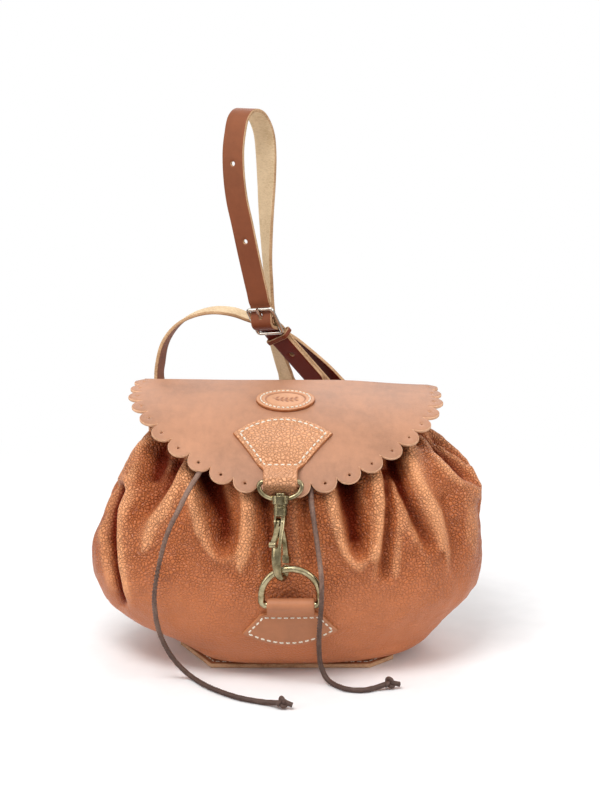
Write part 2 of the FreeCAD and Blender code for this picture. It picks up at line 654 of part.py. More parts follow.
# hanging tails, split where they bend on to the floor: x, y, z
LIE_Z = 1.95
LEFT_UPPER = [
    (-58.7, -63.4, 128.6), (-61.5, -70.5, 116.0), (-67.0, -80.5, 96.0), (-71.5, -84.5, 76.0),
    (-76.0, -84.0, 56.0), (-79.5, -77.0, 36.0), (-80.5, -66.0, 18.0), (-79.0, -60.0, 8.6),
]
LEFT_LOWER = [
    (-78.0, -57.5, 4.4), (-74.0, -57.5, 2.4), (-66.0, -63.0, LIE_Z), (-54.0, -73.0, LIE_Z),
    (-40.0, -84.0, LIE_Z), (-27.0, -94.0, LIE_Z), (-14.0, -100.0, LIE_Z), (1.0, -103.4, LIE_Z),
]
RIGHT_UPPER = [
    (14.6, -71.2, 122.0), (16.5, -77.5, 108.0), (19.5, -83.5, 90.0), (28.2, -86.8, 72.0),
    (28.6, -88.2, 58.0), (26.0, -87.5, 40.0), (24.5, -79.0, 22.0), (24.5, -68.0, 9.0),
]
RIGHT_LOWER = [
    (26.0, -63.6, 4.6), (29.0, -63.5, 2.4), (36.0, -68.5, LIE_Z), (45.0, -73.5, LIE_Z),
    (56.0, -74.0, LIE_Z), (68.0, -71.6, LIE_Z),
]


def make_drawcord():
    """closed loop round the pouch's gathered neck, with its two leads"""
    centre_x, centre_y, half_x, half_y, count = 1.3, 14.4, 78.4, 43.6, 24
    step = 2 * math.pi / count
    points = [V(centre_x + half_x * math.cos(i * step), centre_y + half_y * math.sin(i * step),
                CORD_Z) for i in range(count)]
    curve = Part.BSplineCurve()
    curve.interpolate(points, PeriodicFlag=True)
    start, end = curve.FirstParameter, curve.LastParameter
    middle = (start + end) / 2
    cord = sweep_round([curve.toShape(start, middle), curve.toShape(middle, end)], CORD_RAD)
    left, right = [tube(path, CORD_RAD - 0.12) for path in LEADS]
    feature("drawcord", cord.fuse(left).fuse(right))


def make_lower_tail(label, path, knot_long, knot_start, knot_axis):
    """tail lying on the floor, with a stubby cylinder for its knot"""
    knot = Part.makeCylinder(dim("knot_rad") * 0.8, knot_long, knot_start, knot_axis)
    feature(label, tube(path, CORD_RAD).fuse(knot))


def make_cord_tails():
    feature("cord_left_upper", tube(LEFT_UPPER, CORD_RAD))
    make_lower_tail("cord_left_lower", LEFT_LOWER, 5.4, V(-16.6, -99.6, 3.1), V(1.0, -0.24, 0))
    feature("cord_right_upper", tube(RIGHT_UPPER, CORD_RAD))
    make_lower_tail("cord_right_lower", RIGHT_LOWER, 5.0, V(61.5, -73.2, 3.1), V(1.0, 0.12, 0))


# ---------------------------------------------------------------- strap
STRAP_WIDE, STRAP_THICK = dim("strap_wide"), dim("strap_thick")
SHORT_THICK = 1.4
# centre line and width direction (x, y, z, wx, wy, wz) from the left anchor,
# over the arch, down behind the bag, back up and round the standing loop
LONG_ROUTE = [
    (-83.0, 66.0, 106.0, 1.0, 0.003, 0.031), (-83.5, 67.5, 122.0, 0.995, 0.101, 0.007),
    (-84.0, 73.0, 145.0, 0.765, 0.638, -0.092), (-88.6, 80.0, 166.3, 0.272, 0.943, -0.192),
    (-87.7, 81.0, 179.0, 0.254, 0.961, -0.114), (-84.8, 82.0, 191.6, 0.199, 0.972, -0.121),
    (-78.8, 82.0, 201.6, 0.147, 0.982, -0.119), (-70.9, 82.0, 208.7, 0.066, 0.993, -0.101),
    (-60.7, 82.0, 213.5, 0.01, 0.999, -0.033), (-49.2, 82.0, 215.6, -0.002, 0.999, 0.05),
    (-37.7, 82.0, 214.6, -0.09, 0.987, 0.133), (-28.4, 84.5, 211.2, -0.254, 0.936, 0.242),
    (-19.5, 89.0, 206.7, -0.342, 0.927, 0.154), (-9.7, 93.0, 201.6, -0.329, 0.932, -0.154),
    (2.9, 94.5, 192.2, -0.416, 0.816, -0.401), (13.5, 95.5, 182.6, -0.48, 0.736, -0.478),
    (27.1, 96.0, 170.2, -0.496, 0.715, -0.493), (42.3, 96.5, 155.1, -0.429, 0.746, -0.51),
    (59.0, 98.5, 147.0, -0.238, 0.964, -0.123), (70.0, 100.0, 129.0, -0.119, 0.99, 0.078),
    (67.0, 102.0, 115.0, 0.102, 0.987, 0.122), (54.0, 104.0, 110.0, 0.136, 0.991, -0.013),
    (38.0, 106.0, 117.0, 0.015, 0.991, -0.134), (21.0, 108.0, 136.0, -0.175, 0.961, -0.216),
    (3.0, 108.5, 156.3, -0.525, 0.747, -0.409), (-0.7, 109.0, 165.8, -0.555, 0.803, -0.219),
    (-4.3, 109.0, 176.7, -0.508, 0.847, -0.159), (-7.8, 109.0, 188.4, -0.436, 0.896, -0.085),
    (-10.3, 108.5, 202.3, -0.349, 0.937, 0.003), (-11.6, 107.5, 218.3, -0.307, 0.95, 0.06),
    (-12.2, 106.0, 232.2, -0.306, 0.947, 0.098), (-13.1, 104.0, 247.5, -0.337, 0.936, 0.106),
    (-13.5, 102.0, 263.4, -0.441, 0.896, 0.044), (-13.6, 102.0, 283.1, -0.602, 0.799, 0.002),
    (-13.3, 102.0, 303.4, -0.755, 0.656, 0.0), (-13.6, 102.0, 323.5, -0.861, 0.508, -0.003),
    (-15.2, 99.0, 338.2, -0.869, 0.494, -0.029), (-20.2, 92.0, 350.1, -0.863, 0.505, -0.018),
    (-26.7, 80.0, 354.0, -0.88, 0.475, -0.0), (-31.5, 71.0, 349.7, -0.876, 0.483, -0.001),
    (-33.8, 67.0, 339.0, -0.867, 0.498, 0.011), (-35.0, 65.5, 327.0, -0.882, 0.47, -0.016),
    (-34.6, 64.5, 311.0, -0.891, 0.447, -0.083), (-32.7, 64.0, 294.7, -0.886, 0.438, -0.152),
    (-29.4, 64.0, 279.1, -0.882, 0.434, -0.183), (-25.5, 64.0, 259.9, -0.875, 0.449, -0.179),
    (-21.2, 64.5, 239.8, -0.87, 0.465, -0.168), (-18.4, 65.0, 225.8, -0.871, 0.466, -0.158),
]
# stations in the buckle: distance down the strap, distance outward
LONG_IN_BUCKLE = [(-14.6, -3.9), (-10.8, -3.4), (-6.0, 0.6), (-2.9, 3.7), (0.0, 4.9),
                  (2.9, 3.7), (6.0, 0.6), (10.8, -3.4), (14.6, -4.2)]
SHORT_IN_BUCKLE = [(1.8, 1.5), (0.0, 2.3), (-1.65, 1.6), (-2.3, 0.0), (-1.5, -1.8),
                   (1.4, -2.9), (5.2, -3.9), (10.8, -6.3), (14.6, -7.0)]
# short strap from the tail's end to the right anchor, columns as LONG_ROUTE
SHORT_ROUTE = [
    (33.5, 91.0, 152.0, -0.83, 0.5, -0.2), (50.0, 87.5, 140.0, -0.93, 0.3, -0.1),
    (66.0, 79.5, 130.5, -0.97, 0.15, 0.0), (77.5, 71.5, 122.5, -0.99, 0.06, 0.05),
    (82.4, 67.2, 114.0, -1.0, 0.0, 0.0), (83.0, 66.0, 107.0, -1.0, 0.0, 0.0),
]

# buckle frame: x across to the right, y down the strap, z outward, to the front
BUCKLE_CENTRE = V(-14.2, 68.0, 210.4)
BUCKLE_DOWN = V(0.352, 0.402, -0.846).normalize()
BUCKLE_RIGHT = V(0.87, -0.47, 0.139)
BUCKLE_RIGHT = (BUCKLE_RIGHT - BUCKLE_DOWN * BUCKLE_RIGHT.dot(BUCKLE_DOWN)).normalize()
BUCKLE_OUT = BUCKLE_DOWN.cross(BUCKLE_RIGHT).normalize()
BUCKLE = local(BUCKLE_CENTRE, BUCKLE_RIGHT, BUCKLE_DOWN, BUCKLE_OUT)


def buckle_point(down, out, right=0.0):
    return BUCKLE_CENTRE + BUCKLE_DOWN * down + BUCKLE_OUT * out + BUCKLE_RIGHT * right


def buckle_slot(wide, long, deep, down, out):
    """box centred across the strap, for cutting the prong's slots"""
    return placed(Part.makeBox(wide, long, deep),
                  local(buckle_point(down, out, -wide / 2),
                        BUCKLE_RIGHT, BUCKLE_DOWN, BUCKLE_OUT))


def strap_row(point, width):
    return (point.x, point.y, point.z, width.x, width.y, width.z)


def buckle_rows(stations):
    return [strap_row(buckle_point(down, out), BUCKLE_RIGHT * -1) for down, out in stations]


# straight tail below the buckle
TAIL_START = buckle_point(*LONG_IN_BUCKLE[-1])
TAIL_DIR = V(0.62, 0.20, -0.76).normalize()
TAIL_WIDTH = V(-0.745, 0.585, -0.32)
TAIL = [TAIL_START + TAIL_DIR * d for d in (9.0, 20.0, 32.0, 41.0, 50.0)]


def ribbon_frames(rows):
    """strap rows to a fine list of (point, width direction, face direction)"""
    fine = catmull_rom(rows, 3)
    frames = []
    for i, values in enumerate(fine):
        before, after = neighbours(fine, i)
        tangent = (V(*after[:3]) - V(*before[:3])).normalize()
        width = V(*values[3:])
        width = (width - tangent * width.dot(tangent)).normalize()
        frames.append((V(*values[:3]), width, tangent.cross(width).normalize()))
    return frames


def ribbon(frames, wide, thick):
    wires = []
    for point, width, face in frames:
        side, rise = width * (wide / 2), face * (thick / 2)
        corners = [point + side + rise, point - side + rise,
                   point - side - rise, point + side - rise]
        wires.append(Part.makePolygon(corners + [corners[0]]))
    return solid_of(Part.makeLoft(wires, True, True))


LONG_FRAMES = ribbon_frames(LONG_ROUTE + buckle_rows(LONG_IN_BUCKLE)
                            + [strap_row(p, TAIL_WIDTH) for p in TAIL])


def nearest_frame(target):
    return min(LONG_FRAMES, key=lambda frame: (frame[0] - target).Length)


def make_strap_long():
    """long strap: two holes on the standing loop, one on the tail, a prong slot"""
    strap = ribbon(LONG_FRAMES, STRAP_WIDE, STRAP_THICK)
    for target in (V(-34.6, 65.0, 319.5), V(-27.2, 64.0, 268.0), TAIL[1]):
        point, _, face = nearest_frame(target)
        strap = strap.cut(Part.makeCylinder(dim("strap_hole_rad"), 14, point - face * 7, face))
    feature("strap_long", strap.cut(buckle_slot(3.0, 11.4, 16, -8.6, -8.0)))


def make_strap_short():
    """folded round the buckle's middle bar, then behind the tail to the right anchor"""
    behind = BUCKLE_OUT * -2.75
    rows = (buckle_rows(SHORT_IN_BUCKLE)
            + [strap_row(p + behind, TAIL_WIDTH) for p in TAIL] + SHORT_ROUTE)
    short = ribbon(ribbon_frames(rows), STRAP_WIDE, SHORT_THICK)
    feature("strap_short", short.cut(buckle_slot(4.6, 9.5, 9.0, -6.0, -4.6)))


def make_strap_anchors():
    """sewn ends of the strap on the back panel"""
    y = dim("panel_inner_y") + dim("panel_thick") + 0.1
    for label, x in (("strap_anchor_left", -83.0), ("strap_anchor_right", 83.0)):
        anchor = doc.addObject("Part::Box", label)
        anchor.Height = 26
        anchor.setExpression("Length", "dims.strap_wide")
        anchor.setExpression("Width", "dims.strap_thick")
        anchor.Placement = at(x - STRAP_WIDE / 2, y, 78.5)
        NODES.append(anchor)


# ---------------------------------------------------------------- buckle and keeper
BUCKLE_WIRE, BAR_RAD = dim("buckle_wire_rad"), dim("bar_rad")


def make_buckle_frame():
    """rounded rectangular frame with a middle bar"""
    half_x = dim("buckle_wide") / 2 - BUCKLE_WIRE
    half_y = dim("buckle_tall") / 2 - BUCKLE_WIRE
    corner_rad = 2.0
    corners = [V(-half_x, -half_y, 0), V(half_x, -half_y, 0),
               V(half_x, half_y, 0), V(-half_x, half_y, 0)]
    edges = []
    for i in range(4):
        here, corner, beyond = (corners[(i + k) % 4] for k in range(3))
        along = (corner - here).normalize() * corner_rad
        onward = (beyond - corner).normalize() * corner_rad
        edges.append(line(here + along, corner - along))
        edges.append(corner_arc(corner - along, corner, corner + onward))
    frame = sweep_round(edges, BUCKLE_WIRE)
    feature("buckle_frame", frame.fuse(x_cylinder(BAR_RAD, -half_x, half_x, 0, 0)), BUCKLE)


def make_buckle_prong():
    """loop round the middle bar and a rod that crosses to the top bar"""
    prong_rad = dim("prong_rad")
    on_frame = BUCKLE_WIRE + prong_rad
    loop = x_cylinder(BAR_RAD + 0.1 + 1.3, -1.5, 1.5, 0, 0)
    rod = tube([(0, -1.2, 1.7), (0, -3.6, 1.75), (0, -6.4, 1.7), (0, -9.4, on_frame + 0.15),
                (0, -12.4, on_frame + 0.1), (0, -13.0, on_frame)], prong_rad)
    prong = loop.fuse(rod).cut(x_cylinder(BAR_RAD + 0.08, -3, 3, 0, 0))
    feature("buckle_prong", prong, BUCKLE)


def make_strap_keeper():
    """leather band round both layers just below the buckle"""
    point, width, face = nearest_frame(TAIL_START + TAIL_DIR * 4.4)
    frame = local(point + face * 1.35, width * -1, width.cross(face), face * -1)
    tall, thick = dim("keeper_tall"), dim("keeper_thick")
    inner_x, inner_z = STRAP_WIDE + 1.2, 7.8
    outer = centred_box(inner_x + 2 * thick, tall, inner_z + 2 * thick)
    outer = outer.makeFillet(1.6, [e for e in outer.Edges
                                   if abs(e.tangentAt(e.FirstParameter).y) > 0.9])
    feature("strap_keeper", outer.cut(centred_box(inner_x, tall + 2, inner_z)), frame)


# ---------------------------------------------------------------- build, check and export
make_base_panel()
make_pouch()
make_back_panel()
make_flap()
make_flap_badge()
make_flap_tab()
make_swivel_eye()
make_hook_body()
make_gate_pin()
make_gate()
make_gate_spring()
make_front_ring()
make_front_tab()
make_drawcord()
make_cord_tails()
make_strap_long()
make_strap_short()
make_strap_anchors()
make_buckle_frame()
make_buckle_prong()
make_strap_keeper()
doc.recompute()

bad = [(o.Name, o.State) for o in doc.Objects
       if any(state in ("Invalid", "Error") for state in o.State)]
for node in NODES:
    shape = node.Shape
    if shape.isNull() or not shape.isValid() or len(shape.Solids) < 1:
        bad.append((node.Label, "shape null, invalid or without a solid"))
if bad:
    raise SystemExit("failed objects: %s" % bad)
os.makedirs("parts", exist_ok=True)
for node in NODES:
    node.Shape.exportStep("parts/%s.step" % node.Label)
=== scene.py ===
"""A leather drawstring pouch bag with a scalloped flap, a hook and ring closure and two straps.

The bag stands on the floor at z = 0. Its front faces -y, +x is to the right seen from the
front, and the straps are sewn to the panel on its back (+y). Lengths are in millimetres until
make() turns them into metres; shader scales, lights and the stage are in metres.
"""
import bpy
import math
import numpy as np
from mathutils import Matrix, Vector, noise
from mathutils.geometry import delaunay_2d_cdt


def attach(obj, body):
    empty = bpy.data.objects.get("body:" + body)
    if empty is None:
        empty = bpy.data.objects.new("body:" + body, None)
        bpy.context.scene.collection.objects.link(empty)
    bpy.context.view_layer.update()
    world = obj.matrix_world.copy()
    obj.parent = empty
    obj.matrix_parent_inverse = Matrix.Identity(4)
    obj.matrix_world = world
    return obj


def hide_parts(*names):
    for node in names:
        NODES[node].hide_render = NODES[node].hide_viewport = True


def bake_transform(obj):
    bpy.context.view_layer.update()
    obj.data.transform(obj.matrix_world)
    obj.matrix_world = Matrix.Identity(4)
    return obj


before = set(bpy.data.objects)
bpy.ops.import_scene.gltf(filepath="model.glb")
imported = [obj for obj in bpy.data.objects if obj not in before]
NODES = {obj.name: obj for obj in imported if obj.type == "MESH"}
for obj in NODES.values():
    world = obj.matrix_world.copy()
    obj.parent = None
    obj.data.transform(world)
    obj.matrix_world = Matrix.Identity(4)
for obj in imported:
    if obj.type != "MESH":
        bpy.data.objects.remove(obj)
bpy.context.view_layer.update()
rng = np.random.default_rng(7)

# ---------------------------------------------------------------- viewpoint
# The folds of the pouch are drawn as seen from here, on a plane square to the view.
VIEWPOINT = np.array([10.0, -1217.96, 451.52])
VIEW_TILT = 13.0  # degrees below the horizontal
FOLD_PLANE = 1136.4  # from the viewpoint to the plane


def on_fold_plane(points):
    """Right and up of the points, projected from the viewpoint onto the fold plane."""
    tilt = math.radians(VIEW_TILT)
    forward = np.array([0.0, math.cos(tilt), -math.sin(tilt)])
    upward = np.array([0.0, math.sin(tilt), math.cos(tilt)])
    ray = points - VIEWPOINT
    scale = FOLD_PLANE / (ray @ forward)
    return ray[..., 0] * scale, (ray @ upward) * scale


# ---------------------------------------------------------------- small maths
def catmull(points, per):
    """A smooth curve through the points, with per steps from one to the next."""
    points = np.asarray(points, float)
    last = len(points) - 1
    out = []
    for i in range(last):
        before, start = points[max(i - 1, 0)], points[i]
        end, after = points[i + 1], points[min(i + 2, last)]
        m1, m2 = (end - before) / 2, (after - start) / 2
        cubic = 2 * start - 2 * end + m1 + m2
        square = -3 * start + 3 * end - 2 * m1 - m2
        for k in range(per):
            t = k / per
            out.append(((cubic * t + square) * t + m1) * t + start)
    out.append(points[-1])
    return np.array(out)


def unit(v):
    return v / np.maximum(np.linalg.norm(v, axis=-1, keepdims=True), 1e-12)


def smooth(a, b, x):
    """0 at a, 1 at b, with a soft start and end."""
    t = np.clip((x - a) / (b - a), 0, 1)
    return t * t * (3 - 2 * t)


def bell(x, centre, width):
    return np.exp(-((x - centre) / width) ** 2)


def fractal(points, scale, seed):
    return np.array([noise.fractal(Vector((x * scale + seed, y * scale, z * scale)), 0.7, 2.1, 3)
                     for x, y, z in points])


def arc_lengths(path):
    steps = np.linalg.norm(np.diff(path, axis=0), axis=1)
    return np.concatenate([[0], np.cumsum(steps)])


def sample(where, lengths, values):
    """The columns of values, interpolated at the lengths in where."""
    return np.stack([np.interp(where, lengths, values[:, k]) for k in range(3)], 1)


def make(name, verts, faces, mats, index=None, attrs=None):
    """A smooth-shaded object from vertices in mm."""
    mesh = bpy.data.meshes.new(name)
    mesh.from_pydata([tuple(v) for v in (np.asarray(verts) * 0.001)], [], [tuple(f) for f in faces])
    mesh.update()
    for mat in mats:
        mesh.materials.append(mat)
    if index is not None:
        mesh.polygons.foreach_set("material_index", np.asarray(index, np.int32))
    for key, values in (attrs or {}).items():
        attribute = mesh.attributes.new(key, "FLOAT", "POINT")
        attribute.data.foreach_set("value", np.asarray(values, np.float32))
    mesh.polygons.foreach_set("use_smooth", np.ones(len(mesh.polygons), bool))
    thing = bpy.data.objects.new(name, mesh)
    bpy.context.scene.collection.objects.link(thing)
    return thing


def stand_in(node):
    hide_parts(node)


# ---------------------------------------------------------------- shader building
def plug(node, inputs):
    """Link each socket given, and set each plain value."""
    for key, value in inputs.items():
        socket = node.inputs[key]
        if isinstance(value, bpy.types.NodeSocket):
            node.id_data.links.new(value, socket)
        elif socket.type == "RGBA":
            socket.default_value = (*value, 1)
        else:
            socket.default_value = value


def add_node(tree, kind, inputs=None, **settings):
    node = tree.nodes.new("ShaderNode" + kind)
    for key, value in settings.items():
        setattr(node, key, value)
    plug(node, inputs or {})
    return node


def map_range(tree, value, low, high, to_low=0.0, to_high=1.0, kind="SMOOTHSTEP"):
    limits = {"Value": value, "From Min": low, "From Max": high, "To Min": to_low, "To Max": to_high}
    return add_node(tree, "MapRange", limits, interpolation_type=kind).outputs[0]


def srgb(*channels):
    """Linear colour from 8-bit sRGB."""
    return tuple(c / 255 / 12.92 if c / 255 <= 0.04045 else ((c / 255 + 0.055) / 1.055) ** 2.4
                 for c in channels)


def tint(colour, factor):
    return tuple(min(1, c * factor) for c in colour)


class Shader:
    """A material with a Principled shader, and short ways to add nodes to it."""

    def __init__(self, name):
        self.material = bpy.data.materials.new(name)
        self.material.use_nodes = True
        self.tree = self.material.node_tree
        self.tree.nodes.clear()
        output = self.add("OutputMaterial")
        self.bsdf = self.add("BsdfPrincipled")
        plug(output, {0: self.bsdf.outputs[0]})
        self.coords = self.add("TexCoord").outputs["Object"]

    def add(self, kind, inputs=None, **settings):
        return add_node(self.tree, kind, inputs, **settings)

    def noise(self, scale, detail=3.0, rough=0.55, stretch=None, output="Fac"):
        coords = self.coords
        if stretch is not None:
            coords = self.add("Mapping", {"Scale": stretch, 0: coords}).outputs[0]
        return self.add("TexNoise", {"Scale": scale, "Detail": detail, "Roughness": rough,
                                     "Vector": coords}).outputs[output]

    def cells(self, scale, feature, coords):
        return self.add("TexVoronoi", {"Scale": scale, "Vector": coords},
                        feature=feature).outputs["Distance"]

    def math(self, operation, a, b, clamp=False):
        return self.add("Math", {0: a, 1: b}, operation=operation, use_clamp=clamp).outputs[0]

    def times(self, a, b, clamp=False):
        return self.math("MULTIPLY", a, b, clamp)

    def plus(self, a, b):
        return self.math("ADD", a, b)

    def minus(self, a, b, clamp=False):
        return self.math("SUBTRACT", a, b, clamp)

    def blend(self, a, b, share_a, share_b):
        return self.plus(self.times(a, share_a), self.times(b, share_b))

    def ramp(self, factor, stops):
        node = self.add("ValToRGB", {0: factor})
        elements = node.color_ramp.elements
        while len(elements) < len(stops):
            elements.new(0.5)
        for element, (position, colour) in zip(elements, stops):
            element.position = position
            element.color = (*colour, 1)
        return node.outputs[0]

    def mix(self, factor, a, b):
        return self.add("Mix", {0: factor, 6: a, 7: b}, data_type="RGBA").outputs[2]

    def bump(self, height, strength, distance, normal=None):
        inputs = {"Strength": strength, "Distance": distance, "Height": height}
        if normal is not None:
            inputs["Normal"] = normal
        return self.add("Bump", inputs).outputs[0]

    def attribute(self, name):
        return self.add("Attribute", attribute_name=name).outputs["Fac"]

    def finish(self, colour, normal, roughness, **others):
        plug(self.bsdf, {"Base Color": colour, "Normal": normal, "Roughness": roughness})
        plug(self.bsdf, {key.replace("_", " "): value for key, value in others.items()})
        return self.material


# ---------------------------------------------------------------- materials
def pebbled_leather(name, base, dark, cells, ridge_highlight=None):
    """Pebbled grain with painted shade in its creases; with a colour for ridges it also lays painted
    shade by fold depth, a painted highlight on ridges, and follows the grain.
    """
    shader = Shader(name)
    # the cells are pushed about a little, so that they aren't regular
    shift = shader.noise(170.0, detail=2.0, rough=0.5, output="Color")
    warped = shader.add("VectorMath", {0: shift, 1: (0.0022,) * 3, 2: shader.coords},
                        operation="MULTIPLY_ADD").outputs[0]
    cloud = shader.noise(22.0, detail=4.0)
    colour = shader.ramp(cloud, [(0.30, tint(base, 0.88)), (0.52, base), (0.75, tint(base, 1.1))])
    edge = shader.cells(cells, "DISTANCE_TO_EDGE", warped)
    height = shader.math("POWER", shader.times(edge, 3.4, clamp=True), 0.55)
    # painted shade: the creases between pebbles are darkened towards the dark colour
    crease_shade = shader.minus(1.0, shader.times(edge, 6.5, clamp=True), clamp=True)
    if ridge_highlight is not None:
        patch = shader.noise(55.0, detail=2.0)
        grain = shader.attribute("grain")
        depth = shader.attribute("depth")
        strength = shader.plus(shader.times(patch, 1.1), 0.35)
        local = shader.times(grain, strength, clamp=True)
        # grained leather is redder; the pale ridges are a painted highlight and the dark bottoms of
        # folds painted shade
        redder = tuple(c * k for c, k in zip(base, (0.98, 0.78, 0.46)))
        colour = shader.mix(shader.times(grain, 0.7), colour, redder)
        colour = shader.mix(shader.attribute("ridge_highlight"), colour, ridge_highlight)
        colour = shader.mix(depth, colour, dark)
        crease_shade = shader.times(crease_shade, local)
        height = shader.times(height, shader.plus(shader.times(local, 0.95), 0.10))
        dulled = shader.minus(0.42, shader.times(depth, 0.36))
        plug(shader.bsdf, {"Specular IOR Level": dulled})
    else:
        crease_shade = shader.times(crease_shade, 0.9)
    crease_shade_colour = shader.mix(0.55, colour, dark)
    colour = shader.mix(shader.times(crease_shade, 0.8), colour, crease_shade_colour)
    pebbles = shader.bump(height, strength=0.9, distance=0.0011)
    fine = shader.noise(1500.0, detail=4.0, rough=0.7)
    normal = shader.bump(fine, strength=0.06, distance=0.0003, normal=pebbles)
    return shader.finish(colour, normal, shader.plus(shader.times(cloud, 0.14), 0.36))


def smooth_leather(name, base, vary, rough, grain, scale=26.0, specular=0.35, tone=None):
    """Fine-grained leather; a tone colour is laid on where the tone attribute says."""
    shader = Shader(name)
    cloud = shader.noise(scale, detail=6.0, rough=0.62)
    streak = shader.noise(scale * 9, detail=4.0, rough=0.6, stretch=(1.0, 0.35, 1.0))
    mottle = shader.blend(cloud, streak, 0.7, 0.3)
    colour = shader.ramp(mottle, [(0.32, tint(base, 1 - vary * 1.9)), (0.5, base),
                                  (0.68, tint(base, 1 + vary * 1.5))])
    if tone is not None:
        colour = shader.mix(shader.attribute("tone"), colour, tone)
    pore = shader.math("LESS_THAN", shader.cells(1350.0, "F1", shader.coords), 0.22)
    colour = shader.mix(shader.times(pore, 0.16), colour, tint(base, 0.45))
    fine = shader.noise(900.0, detail=5.0, rough=0.65)
    height = shader.minus(fine, shader.times(pore, 0.5))
    normal = shader.bump(height, strength=grain * 2.2, distance=0.0005)
    roughness = shader.plus(shader.times(mottle, 0.2), rough - 0.1)
    return shader.finish(colour, normal, roughness, Specular_IOR_Level=specular)


def fibre(name, base, dark):
    """Cut or flesh side of leather: fibrous and matte."""
    shader = Shader(name)
    fibres = shader.noise(420.0, detail=6.0, rough=0.75, stretch=(1.0, 1.0, 2.6))
    cloud = shader.noise(60.0)
    colour = shader.ramp(shader.blend(fibres, cloud, 0.6, 0.4),
                         [(0.34, dark), (0.55, base), (0.8, tint(base, 1.12))])
    normal = shader.bump(fibres, strength=0.35, distance=0.0006)
    return shader.finish(colour, normal, 0.85, Specular_IOR_Level=0.2)


def metal(name, light, dark, rough):
    shader = Shader(name)
    fine = shader.noise(260.0, detail=5.0, rough=0.65)
    cloud = shader.noise(65.0)
    tarnish = shader.blend(fine, cloud, 0.45, 0.55)
    middle = tuple((a + b) / 2 for a, b in zip(light, dark))
    colour = shader.ramp(tarnish, [(0.36, dark), (0.52, middle), (0.66, light)])
    scratches = shader.noise(2200.0, rough=0.6, stretch=(0.2, 1.0, 1.0))
    normal = shader.bump(scratches, strength=0.15, distance=0.00015)
    roughness = shader.plus(shader.times(tarnish, -0.22), rough + 0.11)
    return shader.finish(colour, normal, roughness, Metallic=1.0)


def thread(name, base, dark):
    shader = Shader(name)
    twist = shader.add("TexWave", {"Scale": 2600 / 6, "Distortion": 1.5, "Vector": shader.coords},
                       bands_direction="DIAGONAL").outputs["Fac"]
    colour = shader.ramp(twist, [(0.1, dark), (0.6, base)])
    return shader.finish(colour, shader.bump(twist, strength=0.5, distance=0.0002), 0.7)


def waxed_cord():
    """Brown cord, with painted shade that darkens it towards the floor."""
    shader = Shader("waxed_cord")
    fibres = shader.noise(700.0, detail=5.0, rough=0.7)
    cloud = shader.noise(40.0, detail=2.0)
    colour = shader.ramp(shader.blend(fibres, cloud, 0.55, 0.45),
                         [(0.34, srgb(78, 54, 44)), (0.5, srgb(122, 92, 78)),
                          (0.68, srgb(158, 126, 108))])
    height = shader.add("SeparateXYZ", {0: shader.coords}).outputs["Z"]
    # painted shade: the cord is darker towards the floor
    floor_shade = map_range(shader.tree, height, 0.004, 0.070, to_low=0.72, to_high=0.0, kind="LINEAR")
    colour = shader.mix(floor_shade, colour, srgb(48, 26, 20))
    return shader.finish(colour, shader.bump(fibres, strength=0.5, distance=0.0004), 0.62)


# on the pebbled leathers the dark colour is painted shade, in the creases between pebbles and on the
# pouch at the bottoms of folds; the pouch's colour for ridges is a painted highlight
POUCH_LEATHER = pebbled_leather("pouch_leather", base=srgb(190, 113, 69), dark=srgb(102, 20, 3),
                                cells=470.0, ridge_highlight=srgb(248, 172, 118))
SUEDE = fibre("pouch_inside_suede", srgb(150, 96, 62), srgb(96, 56, 34))
TAB_LEATHER = pebbled_leather("tab_pebbled_leather", base=srgb(232, 166, 120),
                              dark=srgb(150, 84, 46), cells=450.0)
FLAP_LEATHER = smooth_leather("flap_leather", srgb(180, 129, 99), vary=0.12, rough=0.52, grain=0.20)
TAB_EDGE = fibre("tab_cut_edge", srgb(182, 116, 74), srgb(132, 74, 42))
BADGE_LEATHER = smooth_leather("badge_leather", srgb(206, 150, 112), vary=0.08, rough=0.5,
                               grain=0.14, tone=srgb(128, 70, 40))
FLAP_EDGE = fibre("flap_cut_edge", srgb(226, 180, 146), srgb(190, 140, 104))
LOWER_TAB_LEATHER = smooth_leather("lower_tab_leather", srgb(178, 116, 80), vary=0.08, rough=0.5,
                                   grain=0.12)
# the strap grain's tone colour is painted shade, laid where the straps turn away from the light
STRAP_GRAIN = smooth_leather("strap_grain", srgb(136, 80, 52), vary=0.10, rough=0.50, grain=0.10,
                             scale=30.0, specular=0.18, tone=srgb(102, 28, 8))
STRAP_FLESH = fibre("strap_flesh", srgb(228, 202, 166), srgb(196, 166, 126))
STRAP_EDGE = fibre("strap_cut_edge", srgb(205, 168, 130), srgb(150, 108, 74))
BASE_LEATHER = smooth_leather("base_leather", srgb(176, 116, 78), vary=0.12, rough=0.6, grain=0.14)
BASE_EDGE = fibre("base_raw_edge", srgb(214, 172, 134), srgb(156, 108, 72))
PANEL_LEATHER = smooth_leather("panel_leather", srgb(190, 128, 88), vary=0.09, rough=0.55,
                               grain=0.12)
WHITE_THREAD = thread("white_thread", srgb(246, 240, 226), srgb(206, 190, 164))
TAN_THREAD = thread("tan_thread", srgb(206, 160, 112), srgb(150, 104, 66))
BRASS = metal("antique_brass", srgb(182, 168, 132), srgb(84, 72, 46), rough=0.24)
RING_BRASS = metal("antique_brass_ring", srgb(200, 188, 152), srgb(126, 112, 80), rough=0.26)
NICKEL = metal("pale_nickel", srgb(226, 220, 210), srgb(168, 160, 150), rough=0.18)
STEEL = metal("spring_steel", srgb(170, 170, 172), srgb(96, 94, 92), rough=0.25)
CORD = waxed_cord()


